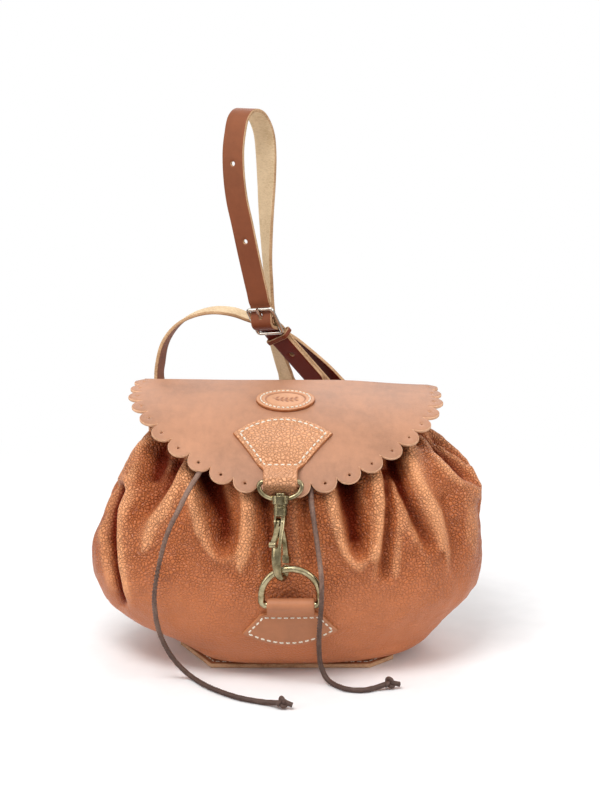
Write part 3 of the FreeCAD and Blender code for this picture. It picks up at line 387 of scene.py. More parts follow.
# ---------------------------------------------------------------- flat outlines
def inside(points, poly):
    x, y = points[:, 0], points[:, 1]
    found = np.zeros(len(points), bool)
    for (ax, ay), (bx, by) in zip(poly, np.roll(poly, -1, 0)):
        if ay != by:
            found ^= ((ay > y) != (by > y)) & (x < (bx - ax) * (y - ay) / (by - ay) + ax)
    return found


def signed_area(poly):
    x, y = poly[:, 0], poly[:, 1]
    return 0.5 * np.sum(x * np.roll(y, -1) - np.roll(x, -1) * y)


def resample(poly, step):
    """A closed outline in steps near the one given."""
    out = []
    for a, b in zip(poly, np.roll(poly, -1, 0)):
        count = max(1, int(round(np.linalg.norm(b - a) / step)))
        out += [a + (b - a) * j / count for j in range(count)]
    return np.array(out)


def resample_open(line, step):
    line = np.array(line, float)
    out = []
    for a, b in zip(line[:-1], line[1:]):
        count = max(1, int(np.linalg.norm(b - a) / step))
        out += [a + (b - a) * j / count for j in range(count)]
    out.append(line[-1])
    return np.array(out)


def inset(poly, distance):
    """Move an anticlockwise outline inwards."""
    arriving = unit(poly - np.roll(poly, 1, 0))
    leaving = unit(np.roll(poly, -1, 0) - poly)
    along = unit(arriving + leaving)
    inward = np.stack([-along[:, 1], along[:, 0]], 1)
    turn = np.sum(inward * np.stack([-arriving[:, 1], arriving[:, 0]], 1), 1)
    return poly + inward * (distance / np.clip(turn, 0.55, 1))[:, None]


def inset_either_way(poly, distance):
    poly = np.array(poly)
    if signed_area(poly) > 0:
        return inset(poly, distance)
    return inset(poly[::-1], distance)[::-1]


def ellipse(cx, cy, rx, ry, count):
    angle = np.linspace(0, 2 * np.pi, count, endpoint=False)
    return np.stack([cx + rx * np.cos(angle), cy + ry * np.sin(angle)], 1)


def parabola(first, middle, last, count):
    """Points on the parabola through three points, reaching the middle one half way."""
    first, middle, last = np.array(first), np.array(middle), np.array(last)
    return [first * (1 - t) * (1 - 2 * t) + middle * 4 * t * (1 - t) + last * t * (2 * t - 1)
            for t in np.linspace(0, 1, count)]


def grid_inside(loops, step):
    """Staggered grid points within the first loop and clear of the others."""
    x0, y0 = loops[0][0]
    outline, inner = loops[0][1], loops[1]
    x0, y0 = outline.min(0)
    x1, y1 = outline.max(0)
    xs = np.arange(x0 + step / 2, x1, step)
    ys = np.arange(y0 + step / 2, y1, step * 0.9)
    grid = np.array([(x + (step / 2 if j % 2 else 0), y) for j, y in enumerate(ys) for x in xs])
    return grid[within(grid, inner)]


def within(points, loops):
    kept = inside(points, loops[0])
    for hole in loops[1:]:
        kept &= ~inside(points, hole)
    return kept


def fill(outline, inner, step):
    """Triangulate within the inset loops: points, triangles, and each loop point's index."""
    x0, y0 = outline.min(0)
    x1, y1 = outline.max(0)
    xs = np.arange(x0 + step / 2, x1, step)
    ys = np.arange(y0 + step / 2, y1, step * 0.9)
    grid = np.array([(x + (step / 2 if j % 2 else 0), y) for j, y in enumerate(ys) for x in xs])
    grid = grid[within(grid, inner)]
    border = np.vstack(inner)
    clear = np.zeros(len(grid), bool)
    for start in range(0, len(grid), 2000):  # in batches, to spare memory
        batch = grid[start:start + 2000]
        nearest = ((batch[:, None, :] - border[None, :, :]) ** 2).sum(2).min(1)
        clear[start:start + 2000] = nearest > (step * 0.5) ** 2
    points = np.vstack([border, grid[clear]])
    edges = []
    first = 0
    for loop in inner:
        n = len(loop)
        edges += [(first + i, first + (i + 1) % n) for i in range(n)]
        first += n
    result = delaunay_2d_cdt([Vector(p) for p in points], edges, [], 0, 1e-5)
    flat = np.array([tuple(v) for v in result[0]])
    tris = np.array([f for f in result[2] if len(f) == 3])
    tris = tris[within(flat[tris].mean(1), inner)]
    a, b, c = flat[tris[:, 0]], flat[tris[:, 1]], flat[tris[:, 2]]
    ab, ac = b - a, c - a
    area = ab[:, 0] * ac[:, 1] - ac[:, 0] * ab[:, 1]
    tris = np.where((area > 0)[:, None], tris, tris[:, ::-1])
    used = np.unique(tris)
    renumber = -np.ones(len(flat), int)
    renumber[used] = np.arange(len(used))
    found = {}
    for vertex, sources in enumerate(result[3]):
        for source in sources:
            found[source] = renumber[vertex]
    return flat[used], renumber[tris], found


def sheet(name, outline, holes, map_to, thick, step, mats, rim, edge_step, relief=None, attrs=None):
    """Lay a flat outline with holes over a surface by map_to(a, b, height), with rounded rims.

    mats are the top, bottom and rim; relief gives extra height of the top face.
    """
    outline = np.asarray(outline, float)
    if signed_area(outline) < 0:
        outline = outline[::-1]
    outline = resample(outline, edge_step)
    loops = [outline] + [hole[::-1] if signed_area(hole) > 0 else hole for hole in holes]
    inner = [inset(loop, rim if i == 0 else min(rim, 0.25)) for i, loop in enumerate(loops)]
    flat, tris, found = fill(outline, inner, step)
    n_face = len(flat)
    extra = relief(flat[:, 0], flat[:, 1]) if relief else np.zeros(n_face)
    verts = [map_to(flat[:, 0], flat[:, 1], thick / 2 + extra),
             map_to(flat[:, 0], flat[:, 1], np.full(n_face, -thick / 2))]
    sources = [flat, flat]
    faces = [tuple(t) for t in tris] + [tuple(t[::-1] + n_face) for t in tris]
    index = [0] * len(tris) + [1] * len(tris)
    radius = min(rim, thick * 0.4)
    shoulder, side = thick / 2 - radius * 0.18, thick / 2 - radius * 0.9
    base, first = 2 * n_face, 0
    for loop, inner_loop in zip(loops, inner):
        n = len(loop)
        near = loop * 0.3 + inner_loop * 0.7
        for ring, height in ((near, shoulder), (loop, side), (loop, -side), (near, -shoulder)):
            verts.append(map_to(ring[:, 0], ring[:, 1], np.full(n, height)))
            sources.append(ring)
        tops = [found[first + i] for i in range(n)]
        rings = [tops] + [[base + k * n + i for i in range(n)] for k in range(4)]
        rings.append([t + n_face for t in tops])
        for band, mat in enumerate((0, 2, 2, 2, 1)):
            for i in range(n):
                j = (i + 1) % n
                face = (rings[band][i], rings[band + 1][i], rings[band + 1][j], rings[band][j])
                if len(set(face)) == 4 and min(face) >= 0:
                    faces.append(face)
                    index.append(mat)
        base += 4 * n
        first += n
    sources = np.vstack(sources)
    values = {key: fn(sources[:, 0], sources[:, 1]) for key, fn in (attrs or {}).items()}
    return make(name, np.vstack(verts), faces, mats, index, values)


# ---------------------------------------------------------------- thread and cord
def stitch_mesh(path, normals, length, gap, radius):
    """Short rounded stitches along a path lying on a surface."""
    path = np.asarray(path, float)
    lengths = arc_lengths(path)
    total = lengths[-1]
    count = max(1, int(total / (length + gap)))
    pitch = total / count
    verts, faces = [], []
    rings, sides = 8, 7
    u = np.linspace(-1, 1, rings)
    profile = np.sqrt(np.clip(1 - np.abs(u) ** 4, 0.03, 1))
    for i in range(count):
        where = np.linspace(i * pitch + gap / 2, (i + 1) * pitch - gap / 2, rings)
        line = sample(where, lengths, path)
        normal = unit(sample(where, lengths, normals))
        across = unit(np.cross(normal, unit(np.gradient(line, axis=0))))
        # the ends dip into the leather
        line = line + normal * (0.22 * (1 - u ** 4) - 0.13)[:, None]
        shift = (rng.random() - 0.5) * 0.12
        first = len(verts)
        for k in range(rings):
            for j in range(sides):
                angle = 2 * math.pi * j / sides
                offset = (across[k] * (math.cos(angle) * radius + shift)
                          + normal[k] * math.sin(angle) * radius)
                verts.append(line[k] + offset * profile[k])
        faces += [tuple(first + v for v in face) for face in tube_faces(rings, sides)]
    return np.array(verts), faces


def tube_faces(rings, sides, cap=True):
    faces = []
    for i in range(rings - 1):
        for j in range(sides):
            k = (j + 1) % sides
            faces.append((i * sides + j, i * sides + k, (i + 1) * sides + k, (i + 1) * sides + j))
    if cap:
        faces.append(tuple(range(sides))[::-1])
        faces.append(tuple((rings - 1) * sides + j for j in range(sides)))
    return faces


def stitches(name, path, normals, length, gap, radius, rider):
    verts, faces = stitch_mesh(path, normals, length, gap, radius)
    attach(make(name, verts, faces, [WHITE_THREAD]), rider)


def on_surface(map_to, points, height):
    """Points on a mapped surface, and the normals there."""
    a, b = points[:, 0], points[:, 1]
    low = map_to(a, b, np.full(len(points), height))
    high = map_to(a, b, np.full(len(points), height + 1.0))
    return low, unit(high - low)


def tube(path, radius, sides=12, wobble=0.0, twist=0.0, cap=True):
    """A round cord with a light twist and changes of thickness."""
    path = np.asarray(path, float)
    along = unit(np.gradient(path, axis=0))
    normals = [unit(np.cross(along[0], np.array([0.3, 0.2, 1.0])))]
    for direction in along[1:]:
        normal = normals[-1] - direction * (normals[-1] @ direction)
        normals.append(normal / np.linalg.norm(normal))
    sideways = np.cross(along, np.array(normals))
    verts = []
    for point, normal, across, s in zip(path, normals, sideways, arc_lengths(path)):
        for j in range(sides):
            turn = 2 * math.pi * j / sides
            angle = turn + twist * s
            swell = math.sin(2 * turn + s * 1.7) * 0.5 + math.sin(s * 0.9 + 1.3) * 0.5
            verts.append(point + (normal * math.cos(angle) + across * math.sin(angle))
                         * radius * (1 + wobble * swell))
    return np.array(verts), tube_faces(len(path), sides, cap)


def close_tube(verts, faces, sides, shift=0):
    """Join the last ring of an open tube to its first."""
    last = len(verts) - sides
    for j in range(sides):
        k = (j + 1) % sides
        faces.append((last + j, last + k, (k + shift) % sides, (j + shift) % sides))


def join_parts(name, parts, mat):
    verts, faces, first = [], [], 0
    for part_verts, part_faces in parts:
        verts.append(part_verts)
        faces += [tuple(i + first for i in face) for face in part_faces]
        first += len(part_verts)
    return make(name, np.vstack(verts), faces, [mat])


# ---------------------------------------------------------------- pouch
# stations up the pouch: z, half width in x, front y, back y, centre x
POUCH = np.array([
    (3.15, 70.0, -44.0, 50.0, 0.0), (7.0, 88.0, -54.0, 58.0, 0.0),
    (16.0, 103.0, -65.0, 64.0, 0.0), (30.0, 115.0, -74.0, 66.0, -1.0),
    (46.0, 125.0, -79.0, 67.0, -0.5), (60.0, 129.5, -80.0, 66.0, 0.5),
    (76.0, 129.0, -78.5, 66.0, 1.5), (94.0, 123.5, -75.0, 66.0, 4.0),
    (112.0, 117.0, -70.0, 66.0, 5.5), (128.0, 109.0, -61.0, 64.0, 6.5),
    (140.0, 99.0, -47.5, 62.0, 5.0), (149.0, 85.0, -32.5, 59.0, 3.0),
    (153.5, 73.0, -24.0, 55.0, 1.0), (156.0, 66.0, -19.0, 52.0, 0.0)])

# extra outward reach of the right and left sides: z, reach
SIDE_RIGHT = np.array([(0, -2), (8, 1), (17, -1), (25, -2), (33, -1), (41, 2), (49, 2.5), (60, 0),
                       (80, 0), (94, 1), (112, 6), (125, 5), (137, 1), (156, 0)], float)
SIDE_LEFT = np.array([(0, -24), (8, -19.5), (17, -15.5), (25, -6.0), (33, -2.5), (41, -2), (49, -1),
                      (60, 0), (84, 0), (98, 1.6), (106, 2), (118, 0), (156, 0)], float)

# folds of the front, each drawn downwards on the fold plane:
# ((right, up) points, half width on the left, half width on the right, depth: + out, - in)
FOLDS = [
    ([(-90, -18), (-95.4, -30), (-101.4, -40.8), (-106.2, -50.4), (-111.6, -63), (-116.4, -81)],
     4.8, 5.4, 5.5),
    ([(-106.8, -54), (-111.6, -67.2), (-113.1, -82.8), (-112.2, -98.4), (-109.8, -112.8),
      (-107.4, -122.4)], 3, 3.3, -15.0),
    ([(-101.4, -49.2), (-106.8, -67.2), (-107.4, -87), (-105.6, -105), (-102.6, -121.2)],
     2.4, 7.2, 5.0),
    ([(-80.4, -19.2), (-85.2, -28.8), (-88.8, -37.8), (-91.8, -48)], 5.4, 6, -13.0),
    ([(-64.2, -34.8), (-72, -51.6), (-79.8, -66), (-87.6, -77.4), (-91.8, -88.8)], 4.8, 4.2, 7.0),
    ([(-74.4, -34.8), (-81, -48), (-88.8, -59.4), (-96.6, -68.4)], 4.8, 4.8, -8.0),
    ([(-57, -37.2), (-53.4, -51.6), (-49.2, -66), (-46.8, -76.8), (-46.2, -84.6)], 7.2, 7.2, -17.0),
    ([(-66, -46.8), (-62.4, -64.8), (-58.2, -79.2), (-52.2, -90.6), (-45.6, -95.4),
      (-38.4, -90.6)], 4.8, 4.8, 5.0),
    ([(-34.2, -44.4), (-32.4, -60), (-31.8, -72), (-33, -87), (-36, -99.6)], 3.9, 4.8, 8.0),
    ([(-22.2, -46.8), (-21, -63), (-19.2, -78), (-18, -93.6), (-17.4, -106.8)], 4.8, 5.4, -8.5),
    ([(-9.6, -57.6), (-8.4, -84), (-7.2, -108)], 4.8, 6, 2.2),
    ([(1.8, -52.8), (3, -72), (4.8, -88.8), (6.6, -103.2)], 4.2, 4.8, -4.6),
    ([(15.6, -44.4), (18.6, -60), (22.2, -75), (26.4, -88.8), (34.2, -98.4), (42, -91.8)],
     4.8, 4.8, 6.5),
    ([(27, -39.6), (30, -56.4), (33, -69.6), (34.8, -80.4), (35.4, -87)], 6.6, 6.6, -17.0),
    ([(41.4, -34.8), (46.2, -49.2), (48, -63), (47.4, -79.2), (45.6, -93.6)], 4.2, 4.2, 7.5),
    ([(51.6, -39.6), (54, -55.2), (53.4, -72), (52.2, -88.8), (51.6, -105.6)], 3.6, 3.6, -8.0),
    ([(55.2, -28.8), (59.4, -42), (65.4, -57.6), (72.6, -73.2), (78.6, -85.8)], 4.2, 2.7, -11.0),
    ([(63.6, -28.8), (67.8, -43.2), (73.8, -57.6), (80.4, -72), (85.2, -88.8)], 3, 7.2, 6.5),
    ([(75.6, -12), (82.2, -22.8), (90, -32.4), (97.8, -40.2), (104.4, -46.2)], 5.4, 5.4, -13.0),
    ([(68.4, -19.2), (78, -32.4), (88.8, -44.4), (99.6, -51.6), (109.2, -56.4)], 4.2, 4.2, 5.5),
    ([(87.6, -60), (91.2, -75.6), (93.6, -90), (94.8, -105.6)], 3.6, 4.8, -4.6),
    ([(100.8, -60), (102.6, -78), (102, -96)], 4.2, 4.2, 3.0),
    ([(-72, -93.6), (-68.4, -108), (-62.4, -122.4)], 5.4, 5.4, -2.0),
    ([(0, -115.2), (18, -120), (36, -117.6)], 6, 6, -0.8),
    ([(66, -96), (62.4, -111), (55.2, -123.6)], 5.4, 6.6, -1.8),
]
LEFT_PLEAT = FOLDS[1:2]  # the deep pleat close to the left outline


def fold_depth(right, up, folds):
    total = np.zeros_like(right)
    for line, width_left, width_right, depth in folds:
        points = catmull(line, 5)
        low, high = points.min(0), points.max(0)
        # only what lies near enough for the fold to reach
        near = (right > low[0] - 24) & (right < high[0] + 24)
        near &= (up > low[1] - 24) & (up < high[1] + 27)
        if not near.any():
            continue
        x, y = right[near], up[near]
        nearest = np.full(x.shape, 1e9)
        side, along = np.zeros(x.shape), np.zeros(x.shape)
        for i, (start, end) in enumerate(zip(points[:-1], points[1:])):
            dx, dy = end - start
            t = ((x - start[0]) * dx + (y - start[1]) * dy) / (dx * dx + dy * dy)
            t = np.clip(t, 0, 1)
            ex, ey = x - (start[0] + dx * t), y - (start[1] + dy * t)
            distance = ex * ex + ey * ey
            closer = distance < nearest
            nearest = np.where(closer, distance, nearest)
            # travelling down the line, positive is to the right
            side = np.where(closer, np.sign(ey * dx - ex * dy), side)
            along = np.where(closer, (i + t) / (len(points) - 1), along)
        width = np.where(side > 0, width_right, width_left)
        taper = 1 - 0.35 * along - smooth(0.85, 1.0, along) * 0.2
        total[near] += depth * np.exp(-nearest / (width * width)) * taper
    return total


def pouch_surface(rows, angle):
    """The unfolded surface at each station and angle."""
    z, half, front, back, centre = rows.T
    c, s = np.cos(angle)[None, :], np.sin(angle)[None, :]
    # squarer outline near the base, so that the leather covers the clipped corners
    power = 2.0 / (2.0 + 0.7 * (1 - smooth(4, 18, z)))[:, None]
    reach_right = np.interp(z, *SIDE_RIGHT.T)[:, None] * smooth(0.3, 0.95, c)
    reach_left = np.interp(z, *SIDE_LEFT.T)[:, None] * smooth(0.3, 0.95, -c)
    x = centre[:, None] + half[:, None] * np.sign(c) * np.abs(c) ** power
    x = x + reach_right - reach_left
    y = ((back + front) / 2)[:, None] + ((back - front) / 2)[:, None] * np.sign(s) * np.abs(s) ** power
    return np.stack([x, y, np.repeat(z[:, None], len(angle), 1)], 2)


def grid_normals(grid):
    around = np.roll(grid, -1, 1) - np.roll(grid, 1, 1)
    return unit(np.cross(around, np.gradient(grid, axis=0)))


def build_pouch():
    rows = catmull(POUCH, 17)
    turn = np.linspace(0, 1, 760, endpoint=False)
    # starts at the front, with the columns closer together there
    angle = 2 * np.pi * turn - math.pi / 2 - 0.42 * np.sin(2 * np.pi * turn)
    plain = pouch_surface(rows, angle)
    n_rows, n_cols = plain.shape[:2]
    height = plain[:, :, 2]
    normals = grid_normals(plain)
    facing = np.sum(normals * unit(VIEWPOINT - plain), 2)
    right, up = on_fold_plane(plain)

    # drawn folds fade out round the sides, at the neck and towards the base
    front = smooth(-0.05, 0.30, facing)
    fade = (1 - smooth(140, 150, height)) * (0.25 + 0.75 * smooth(22, 58, height))
    move = fold_depth(right, up, FOLDS) * front * fade
    # the left pleat keeps its depth where the leather turns away
    pleat = fold_depth(right, up, LEFT_PLEAT) * smooth(-0.02, 0.10, facing)
    move = move + pleat * (1 - front) * 0.45

    # gathers: unevenly spaced folds that deepen towards the neck
    ph = angle[None, :]
    gather = (np.cos(17 * ph + 1.1 * np.sin(2 * ph + 0.6) + 0.8 * np.sin(5 * ph)) * 0.7
              + np.cos(27 * ph + 1.7 * np.sin(3 * ph)) * 0.35)
    gather = np.sign(gather) * np.abs(gather) ** 0.85
    gather_back = 3.4 * smooth(58, 128, height) * (1 - front)
    gather_neck = 3.6 * smooth(130, 150, height)
    move = move + gather * (gather_back + gather_neck) - 1.2 * smooth(128, 150, height)

    # broad softness, and puckers drawn out upwards that are strongest inside the folds
    points = plain.reshape(-1, 3)
    soft = fractal(points, 0.030, 3.0).reshape(n_rows, n_cols)
    pucker = fractal(points * np.array([1.0, 1.0, 0.45]), 0.16, 9.0).reshape(n_rows, n_cols)
    pucker = pucker * (0.25 + 0.75 * smooth(30, 100, height)) * (0.45 + 0.55 * smooth(0, 6, -move))
    move = move + soft * 1.5 * smooth(8, 40, height) + pucker

    # the middle of the front stays behind the metal and the lower tab
    hook_row = bell(right, -6.0, 14.4)
    move = np.where(move > 0, move * (1 - 0.8 * hook_row * front), move)
    move = move * (1 - 0.85 * bell(right, -5.4, 27.6) * smooth(-96, -120, up))
    furthest_out, furthest_in = 6.5, 19
    move = np.where(move > 0, furthest_out * np.tanh(move / furthest_out),
                    furthest_in * np.tanh(move / furthest_in))
    outer = plain + normals * move[:, :, None]

    # flattened where the back panel is sewn on
    flat_from, flat_soft = 54.0, 5.4
    y = outer[:, :, 1]
    squeezed = flat_from + flat_soft * np.tanh((y - flat_from) / flat_soft)
    outer[:, :, 1] = np.where(y > flat_from, squeezed, y)
    # the front left corner stands a little off the base and shows the seam
    corner = bell(plain[:, :, 0], -64, 22) * bell(plain[:, :, 1], -38, 26)
    outer[:, :, 2] += 2.6 * corner * (1 - smooth(5, 26, plain[:, :, 2]))
    outer[0, :, 2] = np.maximum(outer[0, :, 2], 3.1)
    inner = outer - grid_normals(outer) * 1.5
    inner[:, :, 2] = np.minimum(inner[:, :, 2], outer[-1, :, 2][None, :] - 0.1)
    inner[:, :, 2] = np.maximum(inner[:, :, 2], 4.7)

    # colour attributes: painted shade by the depth of a fold, a painted highlight by the height of
    # ridges, and how strongly the grain shows
    height = rows[:, 0][:, None]
    local = move - (np.roll(move, 9, 1) + np.roll(move, -9, 1)) / 2
    depth = smooth(2.0, 13.0, -move) * 0.74 + smooth(0.8, 6.0, -local) * 0.25
    depth = np.clip(depth, 0, 0.92)
    # more painted shade in the folds near the neck, under the flap, and in the deep left pleat
    near_neck = 0.45 * smooth(104, 140, height) * front * smooth(1.0, 9.0, -move)
    depth = np.clip(depth + near_neck, 0, 0.92)
    depth = np.clip(depth + 0.95 * smooth(2.0, 9.0, -pleat), 0, 0.95)
    ridge_highlight = smooth(0.6, 5.0, move) * 0.55 + smooth(0.3, 2.6, local) * 0.5
    ridge_highlight = np.clip(ridge_highlight, 0, 0.9) * smooth(40, 62, height)
    grain = np.clip(0.25 + 0.75 * smooth(40, 92, height) + 0.5 * smooth(1, 6, -move), 0, 1)
    grain = np.clip(grain * (0.75 + 0.5 * np.clip(soft + 0.5, 0, 1)), 0, 1)

    # outer and inner sheets, the neck's rim, and a fan for each floor
    count = n_rows * n_cols
    here = np.arange(count).reshape(n_rows, n_cols)
    beside = np.roll(here, -1, 1)
    quads = np.stack([here[:-1], beside[:-1], beside[1:], here[1:]], 2).reshape(-1, 4)
    neck = np.stack([here[-1], beside[-1], beside[-1] + count, here[-1] + count], 1)
    floors = np.array([[0.0, 3.0, 3.1], [0.0, 3.0, 4.8]])
    verts = np.vstack([outer.reshape(-1, 3), inner.reshape(-1, 3), floors])
    faces = [*quads, *(quads[:, ::-1] + count), *neck]
    faces += [(2 * count, beside[0, j], here[0, j]) for j in range(n_cols)]
    faces += [(2 * count + 1, here[0, j] + count, beside[0, j] + count) for j in range(n_cols)]
    faces = [tuple(int(i) for i in face) for face in faces]
    index = ([0] * len(quads) + [1] * len(quads) + [0] * len(neck)
             + [0] * n_cols + [1] * n_cols)
    attrs = {key: np.concatenate([values.ravel(), np.full(count + 2, rest)])
             for key, values, rest in (("depth", depth, 0.5), ("grain", grain, 0.5),
                                       ("ridge_highlight", ridge_highlight, 0.0))}
    pouch = make("pouch", verts, faces, [POUCH_LEATHER, SUEDE], index, attrs)
    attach(pouch, "bag")
    stand_in("pouch_shell")


build_pouch()

# ---------------------------------------------------------------- base panel
# x, y outline: clipped corners, the front left one cut back furthest
BASE_OUTLINE = np.array([(-48.5, -45.0), (56.0, -45.0), (72.0, -29.0), (72.0, 29.0),
                         (56.0, 45.0), (-56.0, 45.0), (-72.0, 29.0), (-71.0, -2.0)])
BASE_THICK = 3.0


def base_map(x, y, h):
    wave = 0.06 * np.sin(x * 0.11 + 0.7) + 0.05 * np.sin(y * 0.17)
    return np.stack([x, y, BASE_THICK / 2 + h + np.where(h > 0, wave, 0)], 1)


base = sheet("base", BASE_OUTLINE, [], base_map, BASE_THICK, 4.0,
             [BASE_LEATHER, BASE_LEATHER, BASE_EDGE], rim=0.5, edge_step=3.0)
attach(base, "bag")
stand_in("base_panel")
base_seam = resample(inset(BASE_OUTLINE, 3.4), 2.0)
base_seam = np.vstack([base_seam, base_seam[:1]])
base_seam = np.column_stack([base_seam, np.full(len(base_seam), BASE_THICK + 0.15)])
stitches("base_stitches", base_seam, np.tile([0, 0, 1.0], (len(base_seam), 1)),
         length=3.2, gap=1.2, radius=0.42, rider="bag")


# ---------------------------------------------------------------- flap
class Path:
    """A curve in the y-z plane measured by its length; side picks which way its normals point."""

    def __init__(self, points, side=1):
        self.points = catmull(points, 8)
        self.length = arc_lengths(self.points)
        along = unit(np.gradient(self.points, axis=0))
        self.normals = side * np.stack([along[:, 1], -along[:, 0]], 1)

    def at(self, s):
        y, z = (np.interp(s, self.length, self.points[:, k]) for k in (0, 1))
        ny, nz = (np.interp(s, self.length, self.normals[:, k]) for k in (0, 1))
        size = np.sqrt(ny * ny + nz * nz)
        return y, z, ny / size, nz / size

    def length_at_y(self, y, part):
        """Length at y, on a part of the curve where y falls steadily."""
        return np.interp(-np.asarray(y, float), -self.points[part, 0], self.length[part])


# y, z along the sheet: up the back panel, over the top and down to the front edge
FLAP_PROFILE = [
    (64.1, 128.0), (64.1, 136.0), (64.1, 146.0), (63.6, 155.0), (62.2, 161.0), (58.2, 167.6),
    (55.0, 170.4), (50.5, 171.7), (45.0, 172.0), (36.0, 171.8), (27.0, 171.2), (18.0, 170.5),
    (9.0, 169.4), (0.2, 167.9), (-8.0, 166.1), (-16.3, 163.7), (-24.5, 160.9), (-32.2, 157.6),
    (-39.0, 154.1), (-45.3, 150.5), (-50.8, 146.8), (-55.8, 142.7), (-61.6, 137.5),
    (-67.3, 131.6), (-72.8, 125.8), (-78.4, 119.8), (-84.0, 113.6)]
# centres of the eyelet holes on the right half, from the front round to the side: x from the
# flap's middle, y
FLAP_HOLES = [(8.15, -69.6), (25.2, -67.2), (40.6, -62.9), (55.0, -56.4), (68.2, -47.6),
              (79.6, -36.2), (88.4, -22.6), (94.8, -7.4), (98.4, 9.2), (98.3, 26.0), (96.8, 41.0)]
FLAP_THICK = 2.2
FLAP_X = 0.6  # middle of the flap
HOLE_RADIUS = 0.95
SCALLOP_RADIUS = 8.2
SCALLOP_INSET = 1.9  # scallop centres lie this far inside the holes
FLAP_STRIP = 97.5  # half width of the strip behind the scallops
FLAP_START = 2.0  # length along the profile where the sheet starts
GLUE = 0.12

flap_path = Path(FLAP_PROFILE)
flap_over = slice(int(np.argmin(np.abs(flap_path.points[:, 0] - 45.0))), None)


def flap_length(y):
    return flap_path.length_at_y(y, flap_over)


def flap_map(offset=0.0):
    def place(x, s, h):
        y, z, ny, nz = flap_path.at(s)
        # the sides droop and wave; the middle, where the tab is sewn, is calm
        side = smooth(46, 100, np.abs(x))
        droop = -3.6 * smooth(30, 105, x) + 1.2 * smooth(30, 105, -x)
        wave = 0.55 * side * np.sin(s * 0.045 + x * 0.05) + 0.12 * np.sin(x * 0.09 + 1.0) * side
        away = h + offset + wave * smooth(34, 56, s) + droop * smooth(34, 48, s)
        return np.stack([x, y + ny * away, z + nz * away], 1)
    return place


def scalloped_outline(centres, middle, side_s):
    """Outer outline of overlapping discs in order, closed by the strip down the back."""
    r = SCALLOP_RADIUS
    centres = np.array(centres)
    last = len(centres) - 1
    end_dx = math.sqrt(r * r - 9)  # for a start and end 3 mm behind the end discs' centres

    def meet(a, b):
        half_way, apart = (a + b) / 2, b - a
        gap = np.linalg.norm(apart)
        reach = math.sqrt(max(r * r - gap * gap / 4, 0.01))
        normal = np.array([-apart[1], apart[0]]) / gap
        options = half_way + normal * reach, half_way - normal * reach
        return options[int(np.linalg.norm(options[0] - middle) <= np.linalg.norm(options[1] - middle))]

    def from_outward(point, centre, outward):
        angle = math.atan2(point[1] - centre[1], point[0] - centre[0]) - outward
        return (angle + math.pi) % (2 * math.pi) - math.pi

    out = []
    steps = 12
    for i, c in enumerate(centres):
        start = meet(centres[i - 1], c) if i > 0 else c + np.array([end_dx, -3.0])
        end = meet(c, centres[i + 1]) if i < last else c + np.array([-end_dx, -3.0])
        outward = math.atan2(c[1] - middle[1], c[0] - middle[0])
        a0, a1 = from_outward(start, c, outward), from_outward(end, c, outward)
        for j in range(steps + (i == last)):
            angle = outward + a0 + (a1 - a0) * j / steps
            out.append(c + r * np.array([math.cos(angle), math.sin(angle)]))
    corner = [(0, side_s), (1.5, FLAP_START + 1.5), (4, FLAP_START)]
    out += [np.array([FLAP_X - FLAP_STRIP + cut, s]) for cut, s in corner]
    out += [np.array([FLAP_X + FLAP_STRIP - cut, s]) for cut, s in corner[::-1]]
    return np.array(out)


def build_flap():
    right = [(x + FLAP_X, float(flap_length(y))) for x, y in FLAP_HOLES][::-1]
    eyelets = right + [(2 * FLAP_X - x, s) for x, s in right][::-1]
    middle = np.array([FLAP_X, float(flap_length(10.0))])
    centres = [np.array(c) - unit(np.array(c) - middle) * SCALLOP_INSET for c in eyelets]
    outline = scalloped_outline(centres, middle, side_s=right[0][1] - 8)
    holes = [ellipse(x, s, HOLE_RADIUS, HOLE_RADIUS, 12) for x, s in eyelets]
    flap = sheet("flap_sheet", outline, holes, flap_map(), FLAP_THICK, 2.1,
                 [FLAP_LEATHER, SUEDE, FLAP_EDGE], rim=0.5, edge_step=1.4)
    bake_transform(flap)
    stand_in("flap")


build_flap()

# ---------------------------------------------------------------- badge on the flap
BADGE_X, BADGE_S = 0.4, float(flap_length(1.6))
BADGE_RX, BADGE_RY = 19.4, 16.4
BADGE_THICK = 2.0
# the rings round the badge, as shares of its radius
SEAM_RING, GROOVE_RING = 0.845, 0.675


def badge_radius(x, s):
    return np.hypot((x - BADGE_X) / BADGE_RX, (s - BADGE_S) / BADGE_RY)


def sprig(x, s):
    """A curved stem with leaves on both sides."""
    x, y = x - BADGE_X, -(s - BADGE_S)
    mark = np.exp(-((y - 0.04 * x * x + 0.9) / 0.42) ** 2) * (np.abs(x) < 8.6)
    for stem_x in (-6.6, -3.6, -0.6, 2.6, 5.6):
        for side in (-1, 1):
            dx, dy = x - (stem_x + 1.3), y - (0.04 * stem_x * stem_x - 0.9 + side * 1.9)
            angle = 0.9 * side + 0.15
            along = dx * math.cos(angle) + dy * math.sin(angle)
            across = -dx * math.sin(angle) + dy * math.cos(angle)
            mark = np.maximum(mark, np.exp(-((along / 1.75) ** 4 + (across / 0.85) ** 4)))
    return mark


def badge_mark(x, s):
    return sprig(x, s) * (badge_radius(x, s) < 0.62)


def badge_relief(x, s):
    r = badge_radius(x, s)
    edge = 0.55 * smooth(0.90, 1.0, r)
    seam = 0.30 * bell(r, SEAM_RING, 0.04)
    field = 0.5 * (1 - smooth(0.66, 0.70, r)) + 0.45 * bell(r, GROOVE_RING, 0.035)
    return -edge - seam - field - 0.5 * badge_mark(x, s)


def badge_tone(x, s):
    r = badge_radius(x, s)
    rings = 0.7 * bell(r, GROOVE_RING, 0.03) + 0.35 * bell(r, SEAM_RING, 0.06)
    return np.clip(badge_mark(x, s) * 0.85 + rings, 0, 1)


